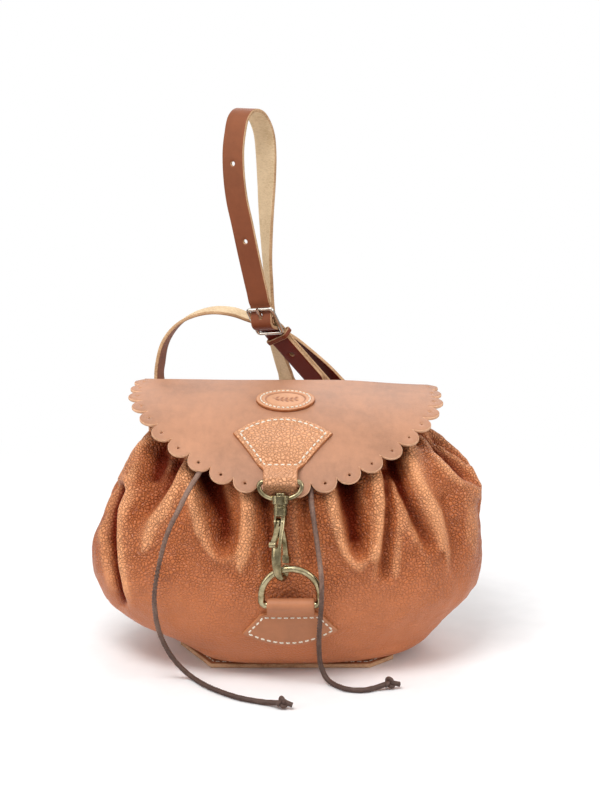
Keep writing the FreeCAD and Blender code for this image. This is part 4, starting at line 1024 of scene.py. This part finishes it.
badge_under = FLAP_THICK / 2 + GLUE
badge = sheet("badge", ellipse(BADGE_X, BADGE_S, BADGE_RX, BADGE_RY, 120), [],
              flap_map(badge_under + BADGE_THICK / 2), BADGE_THICK, 0.55,
              [BADGE_LEATHER, SUEDE, TAB_EDGE], rim=0.35, edge_step=1.0, relief=badge_relief,
              attrs={"tone": badge_tone})
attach(badge, "flap")
stand_in("flap_badge")
ring_angle = np.linspace(0, 2 * np.pi, 161)
badge_seam = np.stack([BADGE_X + BADGE_RX * SEAM_RING * np.cos(ring_angle),
                       BADGE_S + BADGE_RY * 0.835 * np.sin(ring_angle)], 1)
stitches("badge_stitches", *on_surface(flap_map(), badge_seam, badge_under + BADGE_THICK - 0.12),
         length=2.1, gap=0.85, radius=0.52, rider="flap")


# ---------------------------------------------------------------- stitched tabs
def seam_loop(outline, distance, n_arc, s_row):
    """A closed seam inside a tab: along its curved end (n_arc points) and back at s_row."""
    inner = inset_either_way(outline, distance)

    def crossing(a, b):
        return a + (b - a) * (s_row - a[1]) / (b[1] - a[1])

    right, left = crossing(inner[n_arc - 1], inner[n_arc]), crossing(inner[0], inner[-1])
    return resample_open([*inner[:n_arc], right, left, inner[0]], 0.8)


def circle_points(y, z, radius, degrees):
    return [(y + radius * math.cos(math.radians(d)), z + radius * math.sin(math.radians(d)))
            for d in degrees]


# upper tab: lies on the flap and folds round the bar of the swivel eye
UPPER_THICK = 1.8
EYE_BAR_Y, EYE_BAR_Z, EYE_BAR_RADIUS = -79.6, 136.3, 1.55
UPPER_X = -2.3  # middle of the tab's neck
NECK_HALF = 10.9


def build_upper_tab():
    lift = FLAP_THICK / 2 + GLUE + UPPER_THICK / 2

    def over_flap(y, extra=0.0):
        py, pz, ny, nz = flap_path.at(flap_length(y))
        return float(py + ny * (lift + extra)), float(pz + nz * (lift + extra))

    points = [over_flap(y) for y in (-17, -22, -27, -32, -37, -42, -47, -52, -56, -59)]
    points += circle_points(EYE_BAR_Y, EYE_BAR_Z, EYE_BAR_RADIUS + 0.1 + UPPER_THICK / 2,
                            (100, 125, 150, 178, 206, 235, 262))
    points += [over_flap(-73.2, 1.9), over_flap(-69.0, 1.15)]  # back under the bar
    path = Path(points)
    outer_run = slice(None, int(np.argmin(path.points[:, 0])))

    def length(y):
        return float(path.length_at_y(y, outer_run))

    def place(x, s, h):
        y, z, ny, nz = path.at(s)
        return np.stack([x, y + ny * h, z + nz * h], 1)

    arc = parabola((-33.0, length(-38.0)), (-1.6, length(-22.8)), (31.0, length(-38.4)), 25)
    s_neck, s_end = length(-64.5), path.length[-1] - 0.5
    neck = [(NECK_HALF + 0.6, s_neck), (NECK_HALF, s_neck + 2.0), (NECK_HALF - 0.4, s_end)]
    outline = arc + [np.array([UPPER_X + half, s]) for half, s in neck]
    outline += [np.array([UPPER_X - half, s]) for half, s in neck[::-1]]
    tab = sheet("upper_tab", outline, [], place, UPPER_THICK, 1.5, [TAB_LEATHER, SUEDE, TAB_EDGE],
                rim=0.45, edge_step=1.1)
    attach(tab, "flap")
    stand_in("flap_tab")
    seam = seam_loop(outline, 3.5, len(arc), length(-60.8))
    stitches("upper_tab_stitches", *on_surface(place, seam, UPPER_THICK / 2),
             length=2.9, gap=1.15, radius=0.60, rider="flap")


build_upper_tab()

# lower tab: lies on the pouch and folds over the bar of the ring
LOWER_THICK = 2.0
LOWER_X, RING_BAR_Y, RING_BAR_Z, RING_BAR_RADIUS = 4.1, -87.0, 58.2, 2.2


def skin_y(z, x):
    """Front of the unfolded pouch at height z."""
    half, front, back, centre = (np.interp(z, POUCH[:, 0], POUCH[:, k]) for k in (1, 2, 3, 4))
    across = np.sqrt(np.clip(1 - ((x - centre) / half) ** 2, 0, 1))
    return (front + back) / 2 - (back - front) / 2 * across


def build_lower_tab():
    points = [(float(skin_y(z, LOWER_X)) - 0.45 - LOWER_THICK / 2, z - 0.2)
              for z in (27.0, 30.0, 34.0, 38.0, 42.0, 46.0, 49.0)]
    points.append((-84.2, 52.3))
    points += circle_points(RING_BAR_Y, RING_BAR_Z, RING_BAR_RADIUS + 0.12 + LOWER_THICK / 2,
                            (200, 165, 130, 95, 60, 25))
    points += [(-82.9, 56.2), (-81.6, 53.0)]
    path = Path(points, side=-1)
    top = int(np.argmax(path.points[:, 1]))

    def place(x, s, h):
        y, z, ny, nz = path.at(s)
        # bowed round the pouch below, straight at the bar
        bow = (skin_y(z, x) - skin_y(z, np.full_like(x, LOWER_X))) * (1 - smooth(20, 30, s))
        return np.stack([x, y + ny * h + bow, z + nz * h], 1)

    def length(z):
        return float(np.interp(z, path.points[:top, 1], path.length[:top]))

    arc = parabola((LOWER_X - 31.0, length(35.2)), (LOWER_X + 0.5, length(27.6) - 0.4),
                   (LOWER_X + 30.5, length(37.4)), 17)
    s_end = path.length[-1] - 0.5
    # x from the middle, length: up the right side, then down the left
    sides = [(19.5, length(49.6)), (15.4, length(50.8)), (15.1, length(53.0)), (14.8, s_end),
             (-14.8, s_end), (-15.1, length(53.0)), (-15.4, length(50.8)), (-19.5, length(49.2))]
    outline = arc + [np.array([LOWER_X + x, s]) for x, s in sides]
    tab = sheet("lower_tab", outline, [], place, LOWER_THICK, 1.5,
                [LOWER_TAB_LEATHER, SUEDE, TAB_EDGE], rim=0.45, edge_step=1.1)
    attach(tab, "bag")
    stand_in("front_tab")
    seam = seam_loop(outline, 2.5, len(arc), length(47.6))
    stitches("lower_tab_stitches", *on_surface(place, seam, LOWER_THICK / 2),
             length=2.9, gap=1.15, radius=0.56, rider="bag")


build_lower_tab()

# ---------------------------------------------------------------- back panel
# x, z outline, narrowed a little
PANEL_OUTLINE = np.array([
    (-86.0, 10.0), (86.0, 10.0), (90.0, 30.0), (97.0, 62.0), (97.0, 100.0), (96.0, 155.0),
    (-96.0, 155.0), (-97.0, 100.0), (-97.0, 62.0), (-90.0, 30.0)]) * (0.985, 1.0)
PANEL_Y = 61.4


def panel_map(x, z, h):
    bow = 0.15 * np.sin(x * 0.045 + 0.5) * np.sin(z * 0.05)
    return np.stack([x, PANEL_Y + h + bow, z], 1)


def back_stitches(name, line, y):
    line = resample_open(line, 1.0)
    path = np.column_stack([line[:, 0], np.full(len(line), y), line[:, 1]])
    stitches(name, path, np.tile([0, 1.0, 0], (len(path), 1)), length=3.0, gap=0.9, radius=0.4,
             rider="bag")


panel = sheet("back_panel_sheet", PANEL_OUTLINE, [], panel_map, 2.1, 4.0,
              [PANEL_LEATHER, SUEDE, FLAP_EDGE], rim=0.5, edge_step=3.0)
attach(panel, "bag")
stand_in("back_panel")
panel_seam = inset(PANEL_OUTLINE, 4.0)
back_stitches("back_panel_stitches", np.vstack([panel_seam, panel_seam[:1]]), y=62.55)
for seam_name, seam_z in (("flap_seam_stitches", 132.0), ("flap_seam_stitches_upper", 137.0)):
    back_stitches(seam_name, [(-92, seam_z), (93, seam_z)], y=65.35)

# ---------------------------------------------------------------- straps
STRAP_HALF = 8.0
STRAP_END_X = 83.0  # the ends are sewn this far to each side
# centre line of the long strap, from its left end up to the buckle: x, y, z, then the
# direction across the strap
LONG_STRAP = [
    (-83.0, 66.0, 106.0, 1.0, 0.003, 0.031), (-83.5, 67.5, 122.0, 0.995, 0.101, 0.007),
    (-84.0, 73.0, 145.0, 0.765, 0.638, -0.092), (-88.6, 80.0, 166.3, 0.272, 0.943, -0.192),
    (-87.7, 81.0, 179.0, 0.254, 0.961, -0.114), (-84.8, 82.0, 191.6, 0.199, 0.972, -0.121),
    (-78.8, 82.0, 201.6, 0.147, 0.982, -0.119), (-70.9, 82.0, 208.7, 0.066, 0.993, -0.101),
    (-60.7, 82.0, 213.5, 0.01, 0.999, -0.033), (-49.2, 82.0, 215.6, -0.002, 0.999, 0.05),
    (-37.7, 82.0, 214.6, -0.09, 0.987, 0.133), (-28.4, 84.5, 211.2, -0.254, 0.936, 0.242),
    (-19.5, 89.0, 206.7, -0.342, 0.927, 0.154), (-9.7, 93.0, 201.6, -0.329, 0.932, -0.154),
    (2.9, 94.5, 192.2, -0.416, 0.816, -0.401), (13.5, 95.5, 182.6, -0.48, 0.736, -0.478),
    (27.1, 96.0, 170.2, -0.496, 0.715, -0.493), (42.3, 96.5, 155.1, -0.429, 0.746, -0.51),
    (59.0, 98.5, 147.0, -0.238, 0.964, -0.123), (70.0, 100.0, 129.0, -0.119, 0.99, 0.078),
    (67.0, 102.0, 115.0, 0.102, 0.987, 0.122), (54.0, 104.0, 110.0, 0.136, 0.991, -0.013),
    (38.0, 106.0, 117.0, 0.015, 0.991, -0.134), (21.0, 108.0, 136.0, -0.175, 0.961, -0.216),
    (3.0, 108.5, 156.3, -0.525, 0.747, -0.409), (-0.7, 109.0, 165.8, -0.555, 0.803, -0.219),
    (-4.3, 109.0, 176.7, -0.508, 0.847, -0.159), (-7.8, 109.0, 188.4, -0.436, 0.896, -0.085),
    (-10.3, 108.5, 202.3, -0.349, 0.937, 0.003), (-11.6, 107.5, 218.3, -0.307, 0.95, 0.06),
    (-12.2, 106.0, 232.2, -0.306, 0.947, 0.098), (-13.1, 104.0, 247.5, -0.337, 0.936, 0.106),
    (-13.5, 102.0, 263.4, -0.441, 0.896, 0.044), (-13.6, 102.0, 283.1, -0.602, 0.799, 0.002),
    (-13.3, 102.0, 303.4, -0.755, 0.656, 0.0), (-13.6, 102.0, 323.5, -0.861, 0.508, -0.003),
    (-15.2, 99.0, 338.2, -0.869, 0.494, -0.029), (-20.2, 92.0, 350.1, -0.863, 0.505, -0.018),
    (-26.7, 80.0, 354.0, -0.88, 0.475, -0.0), (-31.5, 71.0, 349.7, -0.876, 0.483, -0.001),
    (-33.8, 67.0, 339.0, -0.867, 0.498, 0.011), (-35.0, 65.5, 327.0, -0.882, 0.47, -0.016),
    (-34.6, 64.5, 311.0, -0.891, 0.447, -0.083), (-32.7, 64.0, 294.7, -0.886, 0.438, -0.152),
    (-29.4, 64.0, 279.1, -0.882, 0.434, -0.183), (-25.5, 64.0, 259.9, -0.875, 0.449, -0.179),
    (-21.2, 64.5, 239.8, -0.87, 0.465, -0.168), (-19.3, 64.9, 231.4, -0.871, 0.466, -0.158)]
# the end of the short strap, from below the buckle to the right side of the bag
SHORT_STRAP_END = [
    (33.5, 91.0, 152.0, -0.83, 0.5, -0.2), (50.0, 87.5, 140.0, -0.93, 0.3, -0.1),
    (66.0, 79.5, 130.5, -0.97, 0.15, 0.0), (77.5, 71.5, 122.5, -0.99, 0.06, 0.05),
    (82.4, 67.2, 114.0, -1.0, 0.0, 0.0), (83.0, 66.0, 107.0, -1.0, 0.0, 0.0)]
# (along, out) from the buckle's centre: the long strap through it, the short one round its bar
THROUGH_BUCKLE = [(-14.6, -3.9), (-10.8, -3.4), (-6.0, 0.6), (-2.9, 3.7), (0.0, 4.9), (2.9, 3.7),
                  (6.0, 0.6), (10.8, -3.4), (14.6, -4.2)]
ROUND_BAR = [(1.8, 1.5), (0.0, 2.3), (-1.65, 1.6), (-2.3, 0.0), (-1.5, -1.8), (1.4, -2.9),
             (5.2, -3.9), (10.8, -6.3), (14.6, -7.0)]
# the buckle's centre and its directions along, across and out of the strap
BUCKLE = np.array([-14.2, 68.0, 210.4])
BUCKLE_ALONG = unit(np.array([0.352, 0.402, -0.846]))
BUCKLE_ACROSS = np.array([0.87, -0.47, 0.139])
BUCKLE_ACROSS = unit(BUCKLE_ACROSS - BUCKLE_ALONG * (BUCKLE_ACROSS @ BUCKLE_ALONG))
BUCKLE_OUT = unit(np.cross(BUCKLE_ALONG, BUCKLE_ACROSS))
# the straight run below the buckle, where the straps lie one on the other
RUN_ALONG = unit(np.array([0.62, 0.20, -0.76]))
RUN_ACROSS = (-0.745, 0.585, -0.32)


def at_buckle(along, out):
    return BUCKLE + BUCKLE_ALONG * along + BUCKLE_OUT * out


def buckle_rows(offsets):
    return [(*at_buckle(*offset), *-BUCKLE_ACROSS) for offset in offsets]


def end_rise(z):
    """How far the straps stand off the panel at the top of the sewn ends."""
    return 2.0 * smooth(96, 106, z)


def sewn_run(x, z_from, z_to):
    """Straight rows down the back panel, where a strap end is sewn."""
    z = np.linspace(z_from, z_to, 8)
    across = np.tile([-np.sign(x), 0, 0.0], (8, 1))
    return np.column_stack([np.full(8, x), 63.95 + end_rise(z), z, across])


class Ribbon:
    """A strip along rows of x, y, z and the direction across."""

    def __init__(self, rows):
        self.points, across = rows[:, :3], rows[:, 3:]
        along = unit(np.gradient(self.points, axis=0))
        self.across = unit(across - along * np.sum(across * along, 1, keepdims=True))
        self.face = unit(np.cross(along, self.across))
        self.length = arc_lengths(self.points)
        self.total = self.length[-1]

    def point(self, s):
        return sample(np.array([s]), self.length, self.points)[0]

    def place(self, a, s, h):
        across = unit(sample(s, self.length, self.across))
        face = unit(sample(s, self.length, self.face))
        return sample(s, self.length, self.points) + across * a[:, None] + face * h[:, None]

    def place_flipped(self, a, s, h):
        return self.place(-a, s, -h)

    def near(self, point):
        away = np.linalg.norm(self.points - np.asarray(point), axis=1)
        return self.length[int(np.argmin(away))]


def strap_outline(total, r, pointed=False):
    """Corners cut by r at the start; the far end is square or a rounded point."""
    half, start = STRAP_HALF, 0.3
    if pointed:
        far = [(half * math.cos(a), total - half * 0.75 + half * 0.75 * math.sin(a))
               for a in np.linspace(0, math.pi, 13)]
    else:
        far = [(half, total), (-half, total)]
    return np.array(far + [
        (-half, start + r), (-half + r * 0.3, start + r * 0.3), (-half + r, start),
        (half - r, start), (half - r * 0.3, start + r * 0.3), (half, start + r)])


def strap_sheet(name, outline, holes, place, thick, step, rim, tone, node):
    strap = sheet(name, outline, holes, place, thick, step, [STRAP_GRAIN, STRAP_FLESH, STRAP_EDGE],
                  rim=rim, edge_step=1.5, attrs={"tone": tone})
    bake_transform(strap)
    stand_in(node)


run_start = at_buckle(*THROUGH_BUCKLE[-1])
run_points = [run_start + RUN_ALONG * d for d in (9.0, 20.0, 32.0, 41.0, 50.0)]
long_rows = LONG_STRAP + buckle_rows(THROUGH_BUCKLE) + [(*p, *RUN_ACROSS) for p in run_points]
long_ribbon = Ribbon(np.vstack([sewn_run(-STRAP_END_X, 79.5, 104.0), catmull(long_rows, 6)]))


def long_strap_shade(a, s):
    """Painted shade on the grain: darker behind the arch, and from the buckle on."""
    near = long_ribbon.near
    arch, arch_end = near((2.9, 94.5, 192.2)), near((59.0, 98.5, 147.0))
    buckle = near(BUCKLE)
    behind = smooth(arch - 25, arch + 5, s) * (1 - smooth(arch_end + 10, arch_end + 60, s))
    tail = smooth(buckle - 8, buckle + 16, s)
    falling = smooth(near((-33.8, 67, 339)), near((-25.5, 64.0, 259.9)), s) * 0.25
    return np.clip(np.maximum(behind, np.maximum(tail, falling)), 0, 1)


def build_long_strap():
    near = long_ribbon.near
    holes = [ellipse(0.0, near(p), 1.6, 1.6, 14)
             for p in ((-34.6, 65.0, 319.5), (-27.2, 64.0, 268.0), run_points[1])]
    # a slot for the prong
    middle, end, half = near(at_buckle(-5.6, 0.8)), 1.2, 0.9
    holes.append(np.array([
        (end * math.cos(a), middle + (half if math.sin(a) > 0 else -half) + end * math.sin(a))
        for a in np.linspace(0, 2 * np.pi, 16, endpoint=False)]))
    # flipped, so that the grain faces out at the buckle
    strap_sheet("long_strap", strap_outline(long_ribbon.total, 3.0, pointed=True), holes,
                long_ribbon.place_flipped, thick=2.4, step=1.8, rim=0.4, tone=long_strap_shade,
                node="strap_long")


def build_short_strap():
    rows = buckle_rows(ROUND_BAR)
    rows += [(*(p - BUCKLE_OUT * 2.75), *RUN_ACROSS) for p in run_points] + SHORT_STRAP_END
    ribbon = Ribbon(np.vstack([catmull(rows, 6), sewn_run(STRAP_END_X, 104.5, 79.5)]))
    prong_hole = ellipse(0.0, ribbon.near(at_buckle(-1.9, -0.9)) - 0.2, 2.3, 3.4, 16)
    # the whole short strap carries painted shade
    strap_sheet("short_strap", strap_outline(ribbon.total, 1.0), [prong_hole], ribbon.place,
                thick=1.4, step=1.5, rim=0.3, tone=lambda a, s: np.full(len(s), 0.9),
                node="strap_short")


def build_strap_end(name, node, x, face_y, mat):
    """A box and cross of thread that sews a strap end down."""
    left, right, low, high = x - 5.4, x + 5.4, 82.5, 101.0
    parts = []
    for line in ([(left, low), (right, low), (right, high), (left, high), (left, low)],
                 [(left, low), (right, high)], [(right, low), (left, high)]):
        line = resample_open(line, 0.8)
        path = np.column_stack([line[:, 0], face_y + end_rise(line[:, 1]), line[:, 1]])
        normals = np.tile([0, 1.0, 0], (len(path), 1))
        parts.append(stitch_mesh(path, normals, length=2.6, gap=0.8, radius=0.42))
    threads = join_parts(name, parts, mat)
    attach(threads, "bag")
    stand_in(node)


def build_keeper():
    """A band round both straps, just below the buckle."""
    s = long_ribbon.near(run_start + RUN_ALONG * 3.7)
    along = unit(long_ribbon.point(s + 1.5) - long_ribbon.point(s - 1.5))
    strap_across = sample(np.array([s]), long_ribbon.length, long_ribbon.across)[0]
    across = unit(BUCKLE_ACROSS * 0.9 - unit(strap_across))
    across = unit(across - along * (across @ along))
    out = unit(np.cross(along, across))
    centre = long_ribbon.point(s) - out * 1.35
    half_wall, corner = 0.6, 2.2
    cx = STRAP_HALF + 0.6 + half_wall - corner
    cy = 7.8 / 2 + half_wall - corner
    path = [(sx * cx + corner * math.cos(math.radians(a)), sy * cy + corner * math.sin(math.radians(a)))
            for sx, sy, start in ((1, 1, 0), (-1, 1, 90), (-1, -1, 180), (1, -1, 270))
            for a in np.linspace(start, start + 90, 7)]
    path = resample(np.array(path), 1.0)
    tangent = unit(np.roll(path, -1, 0) - np.roll(path, 1, 0))
    normal = np.stack([tangent[:, 1], -tangent[:, 0]], 1)
    # section of the band: along the strap, outwards
    section = [(-1.7, -0.35), (-1.4, -0.6), (1.4, -0.6), (1.7, -0.35), (1.7, 0.35), (1.4, 0.6),
               (0.0, 0.66), (-1.4, 0.6), (-1.7, 0.35)]
    verts, faces, index = [], [], []
    n = len(section)
    for i in range(len(path)):
        for shift, height in section:
            x, y = path[i] + normal[i] * height
            verts.append(centre + across * x + out * y + along * shift)
        after = (i + 1) % len(path)
        for j in range(n):
            k = (j + 1) % n
            faces.append((i * n + j, i * n + k, after * n + k, after * n + j))
            index.append(0 if section[j][1] > 0.5 and section[k][1] > 0.5 else 1)
    # the band carries part of the straps' painted shade
    keeper = make("keeper_band", verts, faces, [STRAP_GRAIN, STRAP_EDGE], index,
                  {"tone": np.full(len(verts), 0.55)})
    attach(keeper, "keeper")
    stand_in("strap_keeper")


build_long_strap()
build_short_strap()
build_strap_end("strap_end_left", "strap_anchor_left", -STRAP_END_X, 65.45, TAN_THREAD)
build_strap_end("strap_end_right", "strap_anchor_right", STRAP_END_X, 64.85, WHITE_THREAD)
build_keeper()

# ---------------------------------------------------------------- drawcord
CORD_RADIUS = 1.75
# each side's cord: x, y, z from the ring over the neck, hanging down the front, on the floor
CORDS = {
    "left": dict(
        lead=[(-50.0, -18.4, 154.3), (-50.3, -30.0, 151.6), (-51.0, -45.0, 144.4),
              (-52.6, -54.0, 138.0), (-53.623, -60.0, 137.08)],
        hanging=[(-56.797, -66.5, 133.299), (-60.589, -73.0, 127.941), (-65.65, -79.5, 118.746),
                 (-72.399, -84.5, 105.274), (-77.465, -87.5, 87.944), (-81.345, -86.5, 66.594),
                 (-81.34, -82.0, 49.785), (-79.175, -76.0, 34.908), (-74.702, -70.0, 21.195)],
        floor=[(-68.657, -66.5, 10.668), (-61.104, -65.123, 2.6), (-50.694, -79.877, 1.9),
               (-38.7, -92.39, 1.8), (-27.036, -101.587, 1.8), (-14.99, -107.368, 1.8),
               (-8.701, -109.996, 2.2), (-4.293, -113.444, 3.4), (-1.172, -114.844, 4.1)],
        blend=((-0.0575, -0.052, 0.140), (-0.0600, -0.067, 0.122)),
        knot_at=(-1.173, -114.681, 4.1), knot_axis=(1, -0.16, 0),
        tail=[(1.5, 0.0, 0.2), (4.0, -0.6, -0.5), (6.4, -1.2, -1.2)]),
    "right": dict(
        lead=[(13.5, -28.8, 154.3), (15.0, -40.0, 148.9), (16.2, -52.0, 140.6),
              (16.8, -62.0, 131.6), (17.0, -67.6, 125.6)],
        hanging=[(17.1, -71.2, 122.0), (17.515, -77.5, 118.813), (19.688, -83.0, 104.816),
                 (21.855, -88.5, 90.225), (23.412, -92.0, 76.332), (23.327, -92.0, 60.575),
                 (22.281, -88.0, 43.278), (22.081, -80.0, 26.963)],
        floor=[(23.477, -72.0, 11.753), (28.294, -73.875, 2.6), (38.618, -85.615, 1.8),
               (49.982, -88.164, 1.8), (58.367, -84.666, 2.1), (63.502, -83.331, 3.4),
               (66.724, -82.359, 4.1)],
        blend=((0.0132, -0.058, 0.135), (0.0148, -0.073, 0.118)),
        knot_at=(67.059, -82.015, 4.1), knot_axis=(1, 0.3, 0),
        tail=[(1.2, 0.1, 0.2), (4.0, 0.6, -0.6), (6.4, 1.4, -1.4)]),
}


def build_cord_ring():
    angle = np.linspace(0, 2 * np.pi, 181)[:-1]
    path = np.column_stack([1.3 + 78.4 * np.cos(angle), 14.4 + 43.6 * np.sin(angle),
                            154.3 + 0.4 * np.sin(angle * 7)])
    verts, faces = tube(path, CORD_RADIUS, wobble=0.05, twist=0.8, cap=False)
    close_tube(verts, faces, 12)
    ring = make("drawcord_ring", verts, faces, [CORD])
    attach(ring, "bag")
    stand_in("drawcord")


def overhand_knot(centre, axis):
    axis = unit(np.array(axis, float))
    side = unit(np.cross(axis, [0, 0, 1.0]))
    third = np.cross(axis, side)
    t = np.linspace(0, 2 * np.pi, 90, endpoint=False)
    path = (centre + np.outer(-1.5 * np.sin(3 * t), side)
            + np.outer(0.92 * (np.sin(t) + 2 * np.sin(2 * t)), axis)
            + np.outer(np.cos(t) - 2 * np.cos(2 * t), third))
    sides = 10
    verts, faces = tube(path, 1.3, sides=sides, cap=False)
    # close the loop with the shift that best matches the first ring to the last
    first, last = verts[:sides], verts[-sides:]
    misfit = [np.abs(last - np.roll(first, -k, 0)).sum() for k in range(sides)]
    close_tube(verts, faces, sides, shift=int(np.argmin(misfit)))
    return verts, faces


def cord_piece(name, path, node, extra=()):
    body = tube(path, CORD_RADIUS, wobble=0.06, twist=0.8)
    piece = join_parts(name, [body, *extra], CORD)
    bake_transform(piece)
    stand_in(node)


def build_cord(side, lead, hanging, floor, blend, knot_at, knot_axis, tail):
    path = catmull(lead + hanging + floor, 8)
    split = 8 * (len(lead) + len(hanging) - 1) + 2
    cord_piece(f"cord_{side}_hanging", path[:split + 1], f"cord_{side}_upper")
    knot_at = np.array(knot_at)
    cut_tail = tube(catmull([knot_at + np.array(p) for p in tail], 5), CORD_RADIUS * 0.98,
                    wobble=0.08, twist=0.8)
    bend = [tuple(np.array(p) / 1000) for p in (hanging[-1], floor[1])]
    cord_piece(f"cord_{side}_floor", path[split - 3:], f"cord_{side}_lower",
               [overhand_knot(knot_at, knot_axis), cut_tail])


build_cord_ring()
for cord_side, cord in CORDS.items():
    build_cord(cord_side, **cord)

# ---------------------------------------------------------------- metal kept from the CAD
for node_name, metal_mat in (
        ("swivel_eye", BRASS), ("hook_body", BRASS), ("gate_pin", BRASS), ("gate_lever", BRASS),
        ("gate_spring", STEEL), ("front_d_ring", RING_BRASS), ("buckle_frame", NICKEL),
        ("buckle_prong", NICKEL)):
    part = NODES[node_name]
    part.data.materials.clear()
    part.data.materials.append(metal_mat)


# ---------------------------------------------------------------- stage
def floor_material():
    """Near-white floor that runs out into plain white away from the bag."""
    shader = Shader("studio_floor")
    colour = shader.ramp(shader.noise(60.0, detail=2.0),
                         [(0.3, (0.90, 0.90, 0.905)), (0.7, (0.93, 0.93, 0.935))])
    plug(shader.bsdf, {"Base Color": colour, "Roughness": 0.6, "Specular IOR Level": 0.15})
    seen = shader.add("Emission", {0: (1, 1, 1), 1: 1.0}).outputs[0]
    unseen = shader.add("Emission", {0: (0.55, 0.55, 0.55)}).outputs[0]
    distance = shader.add("VectorMath", {0: shader.coords}, operation="LENGTH").outputs["Value"]
    far = map_range(shader.tree, distance, 0.22, 0.62)
    camera_ray = shader.add("LightPath").outputs["Is Camera Ray"]
    white = shader.add("MixShader", {0: camera_ray, 1: unseen, 2: seen}).outputs[0]
    mixed = shader.add("MixShader", {0: far, 1: shader.bsdf.outputs[0], 2: white}).outputs[0]
    plug(shader.tree.nodes["Material Output"], {0: mixed})
    return shader.material


def build_floor():
    half = 9.0
    mesh = bpy.data.meshes.new("floor")
    mesh.from_pydata([(-half, -half, 0), (half, -half, 0), (half, half, 0), (-half, half, 0)], [],
                     [(0, 1, 2, 3)])
    floor = bpy.data.objects.new("floor", mesh)
    bpy.context.scene.collection.objects.link(floor)
    floor.location.z = -0.0002
    mesh.materials.append(floor_material())


def build_world():
    """White to the camera; brighter overhead for lighting, with more contrast in reflections."""
    world = bpy.data.worlds.new("studio")
    bpy.context.scene.world = world
    world.use_nodes = True
    tree = world.node_tree
    coords = add_node(tree, "TexCoord").outputs["Generated"]
    height = add_node(tree, "SeparateXYZ", {0: coords}).outputs["Z"]
    rays = add_node(tree, "LightPath").outputs
    diffuse = map_range(tree, height, 0.0, 0.75, to_low=0.16, to_high=0.72)
    glossy = map_range(tree, height, -0.15, 0.55, to_low=0.03, to_high=1.25)
    light = add_node(tree, "Mix", {0: rays["Is Glossy Ray"], 2: diffuse, 3: glossy}).outputs[0]
    strength = add_node(tree, "Mix", {0: rays["Is Camera Ray"], 2: light, 3: 1.0}).outputs[0]
    plug(tree.nodes["Background"], {0: (1.0, 1.0, 1.0), 1: strength})


def area_light(name, location, target, size, power):
    light = bpy.data.lights.new(name, "AREA")
    light.shape = "RECTANGLE"
    light.size, light.size_y = size
    light.energy = power
    light.color = (1, 1, 1)
    lamp = bpy.data.objects.new(name, light)
    lamp.location = location
    aim = Vector(target) - Vector(location)
    lamp.rotation_euler = aim.to_track_quat("-Z", "Y").to_euler()
    bpy.context.scene.collection.objects.link(lamp)


def build_camera():
    scene = bpy.context.scene
    scene.view_settings.view_transform = "Standard"
    scene.view_settings.look = "None"
    lens = bpy.data.cameras.new("camera")
    lens.lens = 85.23
    lens.sensor_width = 36.0
    lens.sensor_fit = "AUTO"
    lens.clip_end = 50
    camera = bpy.data.objects.new("camera", lens)
    camera.location = tuple(VIEWPOINT / 1000)
    camera.rotation_euler = (math.radians(90 - VIEW_TILT), 0, 0)
    scene.collection.objects.link(camera)
    scene.camera = camera


build_floor()
build_world()
area_light("key_top", (-0.30, -0.60, 1.25), target=(0, 0, 0.1), size=(0.7, 0.5), power=11.0)
area_light("fill_right", (1.15, -0.55, 0.55), target=(0, 0, 0.12), size=(0.5, 0.8), power=5.0)
area_light("fill_left", (-1.2, -0.5, 0.5), target=(0, 0, 0.1), size=(0.5, 0.8), power=3.5)
area_light("back_rim", (0.2, 1.2, 0.9), target=(0, 0, 0.2), size=(1.0, 0.6), power=4.0)
build_camera()
